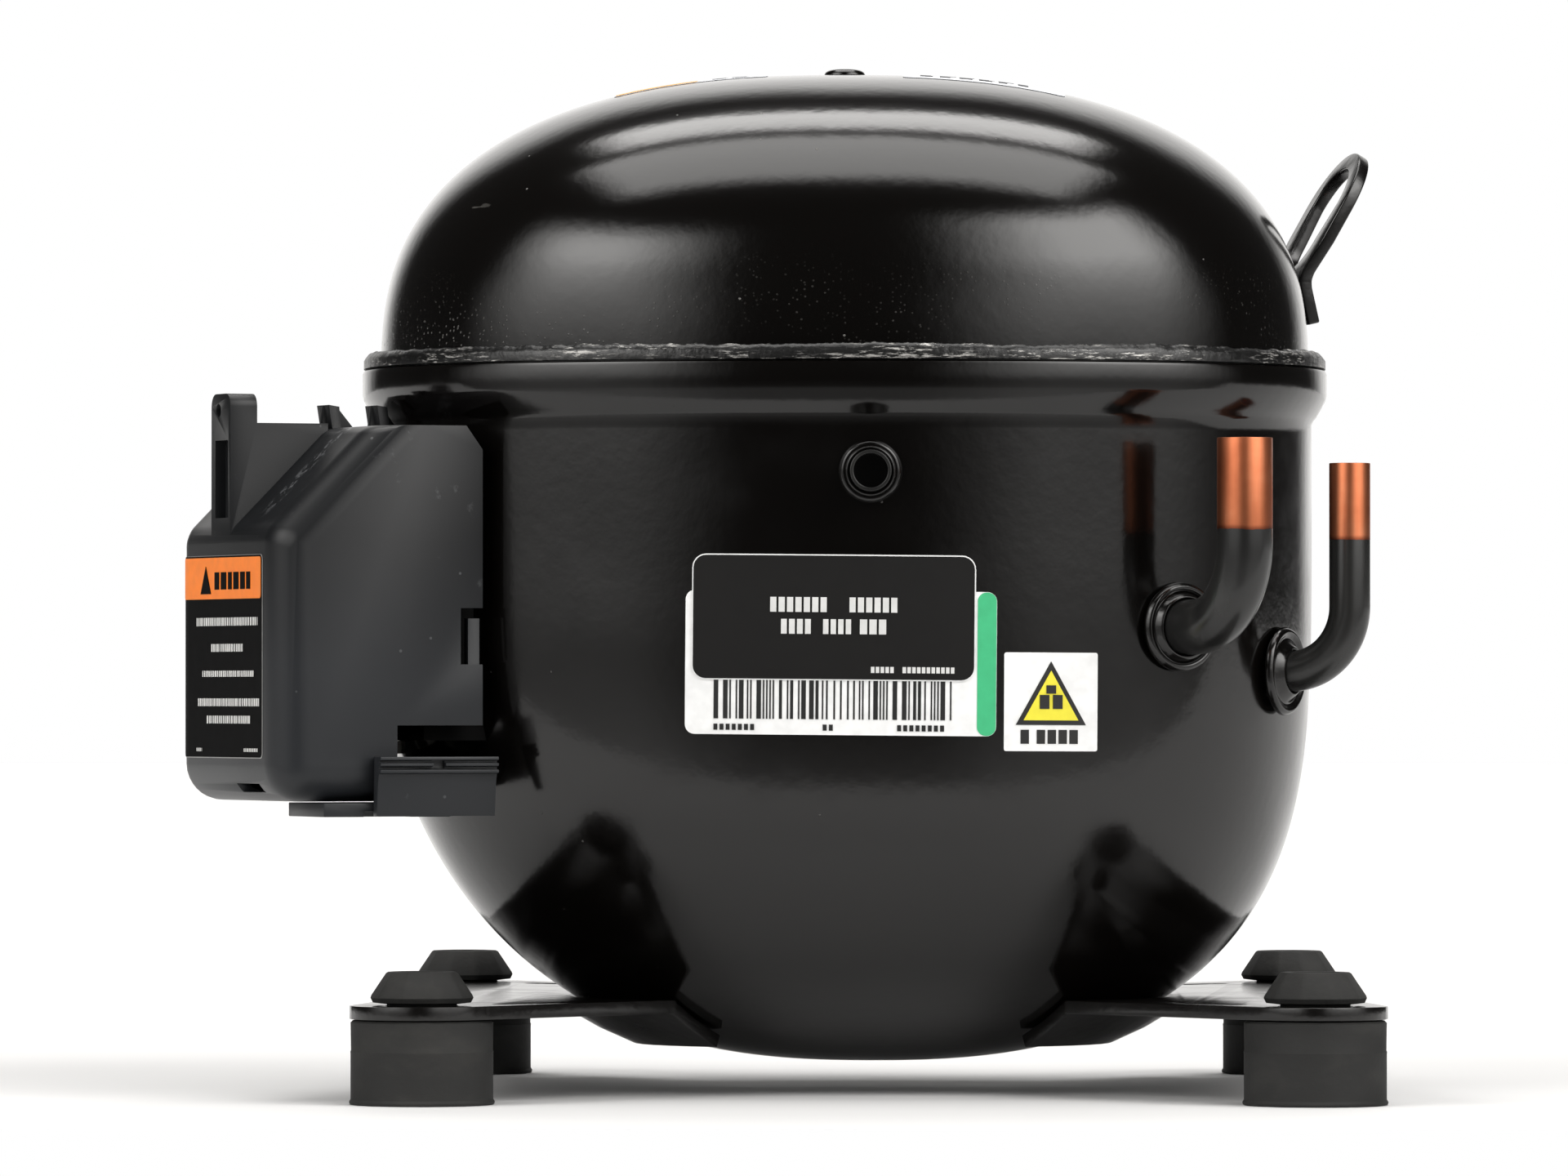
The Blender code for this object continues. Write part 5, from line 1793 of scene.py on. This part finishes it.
@dataclass
class Studio:
    """Camera, pale floor and a soft white room with two tall panels and an overhead one."""

    feet_x: float
    camera_side: float = 24.5
    camera_back: float = 2510.6
    camera_height: float = 93.0
    lens: float = 243.1
    swing: Pair = (-0.01813, 0.0101)
    floor_tone: float = 0.7
    dark: float = 0.035
    backdrop: float = 1.25
    glow: float = 0.32

    def camera(self) -> None:
        """Long lens, low and in front, a little to the right."""
        data = bpy.data.cameras.new("camera")
        data.lens = self.lens
        data.sensor_width = 36.0
        data.clip_end = 50.0
        camera = bpy.data.objects.new("camera", data)
        camera.location = Vector((self.feet_x + self.camera_side, -self.camera_back,
                                  self.camera_height)) * MM
        aim = Vector((self.swing[0], 1.0, self.swing[1]))
        camera.rotation_euler = aim.to_track_quat("-Z", "Y").to_euler()
        bpy.context.scene.collection.objects.link(camera)
        bpy.context.scene.camera = camera

    def floor(self) -> None:
        """Pale sheet that the feet stand on, cut short in front and long behind."""
        Bench.deselect()
        bpy.ops.mesh.primitive_plane_add(size=12.0, location=(0.0, 0.0, -0.0002))
        sheet = bpy.context.active_object
        sheet.name = "studio_floor"
        sheet.data.transform(Matrix.Translation((0.0, 5.76, 0.0)))
        material, graph, feed = new_material("floor_card", Roughness=0.7,
                                             Specular_IOR_Level=0.2)
        tone = graph.noise(2.0, 2.0)
        low, high = self.floor_tone * 0.98, self.floor_tone * 1.02
        feed(Base_Color=graph.ramp(tone, [(0.3, (low, low, low)), (0.7, (high, high, high))]))
        sheet.data.materials.append(material)

    def room(self) -> None:
        """World light: white behind, dark in front, soft panels left and right and a large one
        overhead that is brightest at its back edge."""
        world = bpy.data.worlds.new("studio_room")
        bpy.context.scene.world = world
        world.use_nodes = True
        graph = Graph(world.node_tree)
        source = graph.node("ShaderNodeTexCoord").outputs["Generated"]
        parts = graph.node("ShaderNodeSeparateXYZ", None, {"Vector": source})
        x, y, z = (Value(graph, parts.outputs[i]) for i in range(3))
        side = graph.math("ARCTAN2", x, y * -1.0) * math.degrees(1.0)
        rise = graph.math("ARCSINE", z) * math.degrees(1.0)
        away = graph.math("ABSOLUTE", side)
        left = side * -1.0
        steep = graph.math("MINIMUM", graph.math("MAXIMUM", rise, -4.0), 32.0) * (1.0 / 17.0)
        climb = graph.math("EXPONENT", steep) * (0.55 + 0.4 * rise.smooth(-1.0, 6.0))
        left_low = left.smooth(10.0, 36.0) * (1.0 - left.smooth(60.0, 96.0))
        left_high = left.smooth(12.0, 46.0) * (1.0 - left.smooth(54.0, 90.0))
        right_low = side.smooth(5.0, 34.0) * (1.0 - side.smooth(60.0, 98.0))
        right_high = side.smooth(7.0, 48.0) * (1.0 - side.smooth(66.0, 92.0))
        high = rise.smooth(8.0, 26.0)
        left_panel = (left_low * (1.0 - high) + left_high * high) * climb
        left_panel = left_panel * (1.0 - rise.smooth(37.0, 49.0))
        right_panel = (right_low * (1.0 - high) + right_high * high) * climb
        right_panel = right_panel * (1.0 - rise.smooth(47.0, 57.0)) * 1.05
        up = graph.math("MAXIMUM", z, 0.02)
        across = graph.math("ABSOLUTE", graph.math("DIVIDE", x, up))
        back = graph.math("DIVIDE", y, up)
        above = z.smooth(0.35, 0.5)
        top_panel = back.smooth(-0.34, -0.17) * (1.0 - back.smooth(0.24, 0.33)) * 3.7
        top_panel = top_panel * (1.0 - across.smooth(0.44, 0.62)) * above
        back_panel = back.smooth(0.34, 0.46) * (1.0 - back.smooth(0.68, 0.8)) * 5.6
        back_panel = back_panel * (1.0 - across.smooth(0.3, 0.48)) * above
        behind = away.smooth(144.0, 165.0) * (1.0 - rise.smooth(26.0, 42.0))
        ground = (rise * -1.0).smooth(2.0, 30.0)
        light = (self.dark + left_panel + right_panel + top_panel + back_panel
                 + behind * self.backdrop + ground * self.glow)
        seen = graph.node("ShaderNodeLightPath").outputs["Is Camera Ray"]
        lamp = graph.node("ShaderNodeBackground", None,
                          {"Color": (1.0, 0.985, 0.965, 1.0), "Strength": light})
        card = graph.node("ShaderNodeBackground", None,
                          {"Color": (1.0, 1.0, 1.0, 1.0), "Strength": 1.0})
        both = graph.node("ShaderNodeMixShader", None, {0: seen, 1: lamp.outputs[0],
                                                        2: card.outputs[0]})
        graph.node("ShaderNodeOutputWorld", None, {"Surface": both.outputs[0]})

    def build(self) -> None:
        """Set the studio up."""
        self.camera()
        self.floor()
        self.room()
        bpy.context.scene.view_settings.view_transform = "Standard"


# ------------------------------------------------------------------ hidden works

@dataclass
class FlexingPart:
    """Hidden part between the shell and the sprung pump, which gives as the pump moves."""

    node: str
    slot: str
    start: Point
    end: Point

    def build(self, look: bpy.types.Material) -> None:
        """Copy the node in place, dress it and hide the node.

        Args:
            look: its material.
        """
        piece = Bench.copy_node(self.node, self.node + "_flexing")
        Bench.smooth(piece, 50.0)
        piece.data.materials.append(look)
        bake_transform(piece)
        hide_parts(self.node)
        log.info("%s: flexes between housing and pump", piece.name)


def build_suspension() -> None:
    """Make the four springs and the discharge line that join the pump to the shell."""
    steel = BareMetal("spring_wire", (0.40, 0.40, 0.41), Grain.TURNED, 0.26).material()
    for place_name in ("front_left", "front_right", "rear_left", "rear_right"):
        node = f"suspension_spring_{place_name}"
        low, high = (Vector(corner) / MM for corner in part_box(node))
        x, y = (low.x + high.x) / 2, (low.y + high.y) / 2
        FlexingPart(node, "spring_steel", (x, y, low.z + 2.0), (x, y, high.z - 2.0)).build(steel)
    copper = BareMetal("line_copper", (0.72, 0.29, 0.15), Grain.DRAWN, 0.3).material()
    FlexingPart("discharge_shock_tube", "copper", (104.0, -45.0, 98.0),
                (86.0, -13.0, 142.0)).build(copper)


def dress_nodes() -> None:
    """Give every frame node that still shows its own finish."""
    looks = {
        "bracket_paint": Enamel("bracket_enamel", gloss_roughness=0.2),
        "shell_paint": Enamel("spare_enamel"),
        "terminal_fence": Film("fence_paint", (0.003, 0.003, 0.003), 0.65, 0.06),
        "weld_bead": WeldBead("spare_weld"),
        "grommet_rubber": Rubber("spare_rubber"),
        "copper": BareMetal("drawn_copper", (0.72, 0.29, 0.15), Grain.DRAWN, 0.3),
        "terminal_plastic": MouldedPlastic("spare_plastic", (0.04, 0.042, 0.045),
                                           (0.05, 0.053, 0.056)),
        "relay_plastic": MouldedPlastic("relay_moulding", (0.5, 0.48, 0.42),
                                        (0.62, 0.6, 0.54), 0.5, 0.3),
        "zinc_steel": BareMetal("zinc_plate", (0.62, 0.61, 0.56), Grain.TURNED, 0.34),
        "spring_steel": BareMetal("oiled_steel", (0.40, 0.40, 0.41), Grain.TURNED, 0.26),
        "cast_iron": BareMetal("grey_iron", (0.17, 0.17, 0.18), Grain.CAST, 0.55, 900.0, 0.7,
                               0.0003),
        "lamination": BareMetal("stacked_steel", (0.27, 0.28, 0.31), Grain.STACKED, 0.42, 1400.0,
                                0.9, 0.0003),
        "winding": BareMetal("enamelled_wire", (0.50, 0.16, 0.05), Grain.STACKED, 0.32, 900.0,
                             0.5, 0.0006),
        "aluminium": BareMetal("die_casting", (0.70, 0.71, 0.72), Grain.CAST, 0.42, 700.0),
        "muffler_plastic": MouldedPlastic("muffler_moulding", (0.62, 0.58, 0.48),
                                          (0.74, 0.7, 0.6), 0.5, 0.2),
        "gasket_fibre": MouldedPlastic("gasket_fibre_look", (0.15, 0.15, 0.13),
                                       (0.22, 0.22, 0.19), 0.85, 0.0),
    }
    made: dict[str, bpy.types.Material] = {}
    slots = {part["node"]: part["material_slot"] for part in frame["record"]["subparts"]}
    for name, node in frame["nodes"].items():
        slot = name if name in looks else slots[name]
        if slot not in made:
            made[slot] = looks[slot].material()
        node.data.materials.clear()
        node.data.materials.append(made[slot])
        log.info("%s: %s", name, made[slot].name)


def main() -> None:
    """Build the studio, then every sub-assembly in order."""
    logging.basicConfig(level=logging.INFO, format="%(message)s")
    feet_x = middle_x("foot_grommet_front_left", "foot_grommet_front_right")
    rim_x = middle_x("seam_weld")
    Studio(feet_x).build()
    form = ShellForm(feet_x, rim_x)
    Housing(form).build()
    ShellLabels(form, feet_x).build()
    Stub("suction", form, -55.0, 108.6, 6.35, 1.0, 26.0, 10.3, 19.0, 151.7, 130.8).build()
    Stub("discharge", form, -26.0, 98.5, 4.765, 0.85, 18.0, 10.3, 15.0, 146.8, 129.0).build()
    Stub("process", form, -89.0, 144.1, 4.765, 0.85, 11.0, 7.25, paint_top=400.0).build()
    bracket = Enamel("bracket_coat", gloss_roughness=0.2, peel_depth=0.00008).material()
    LiftingEye(form).build(bracket)
    for node in ("base_plate_left", "base_plate_right"):
        SoftCopy(node, "housing", "bracket_paint", 0.6).build(bracket)
    rubber = Rubber().material()
    for end in ("front", "rear"):
        for side in ("left", "right"):
            Grommet(f"foot_grommet_{end}_{side}").build(rubber)
    turn = math.radians(TerminalCover.bearing)
    # line of the worn track on the cover; passing it also turns on the cover's painted shade by
    # height
    line = (-math.sin(turn), math.cos(turn), -math.sin(turn) * TerminalCover.origin_x * MM + 0.014)
    plastic = MouldedPlastic("cover_moulding", (0.0062, 0.0068, 0.0078),
                             (0.0165, 0.0180, 0.0205), 0.32, 0.5, 0.33, line).material()
    cover = TerminalCover(form)
    cover.build(plastic)
    cover.build_clamp(plastic)
    cover.build_label()
    build_suspension()
    dress_nodes()


if __name__ == "__main__":
    main()
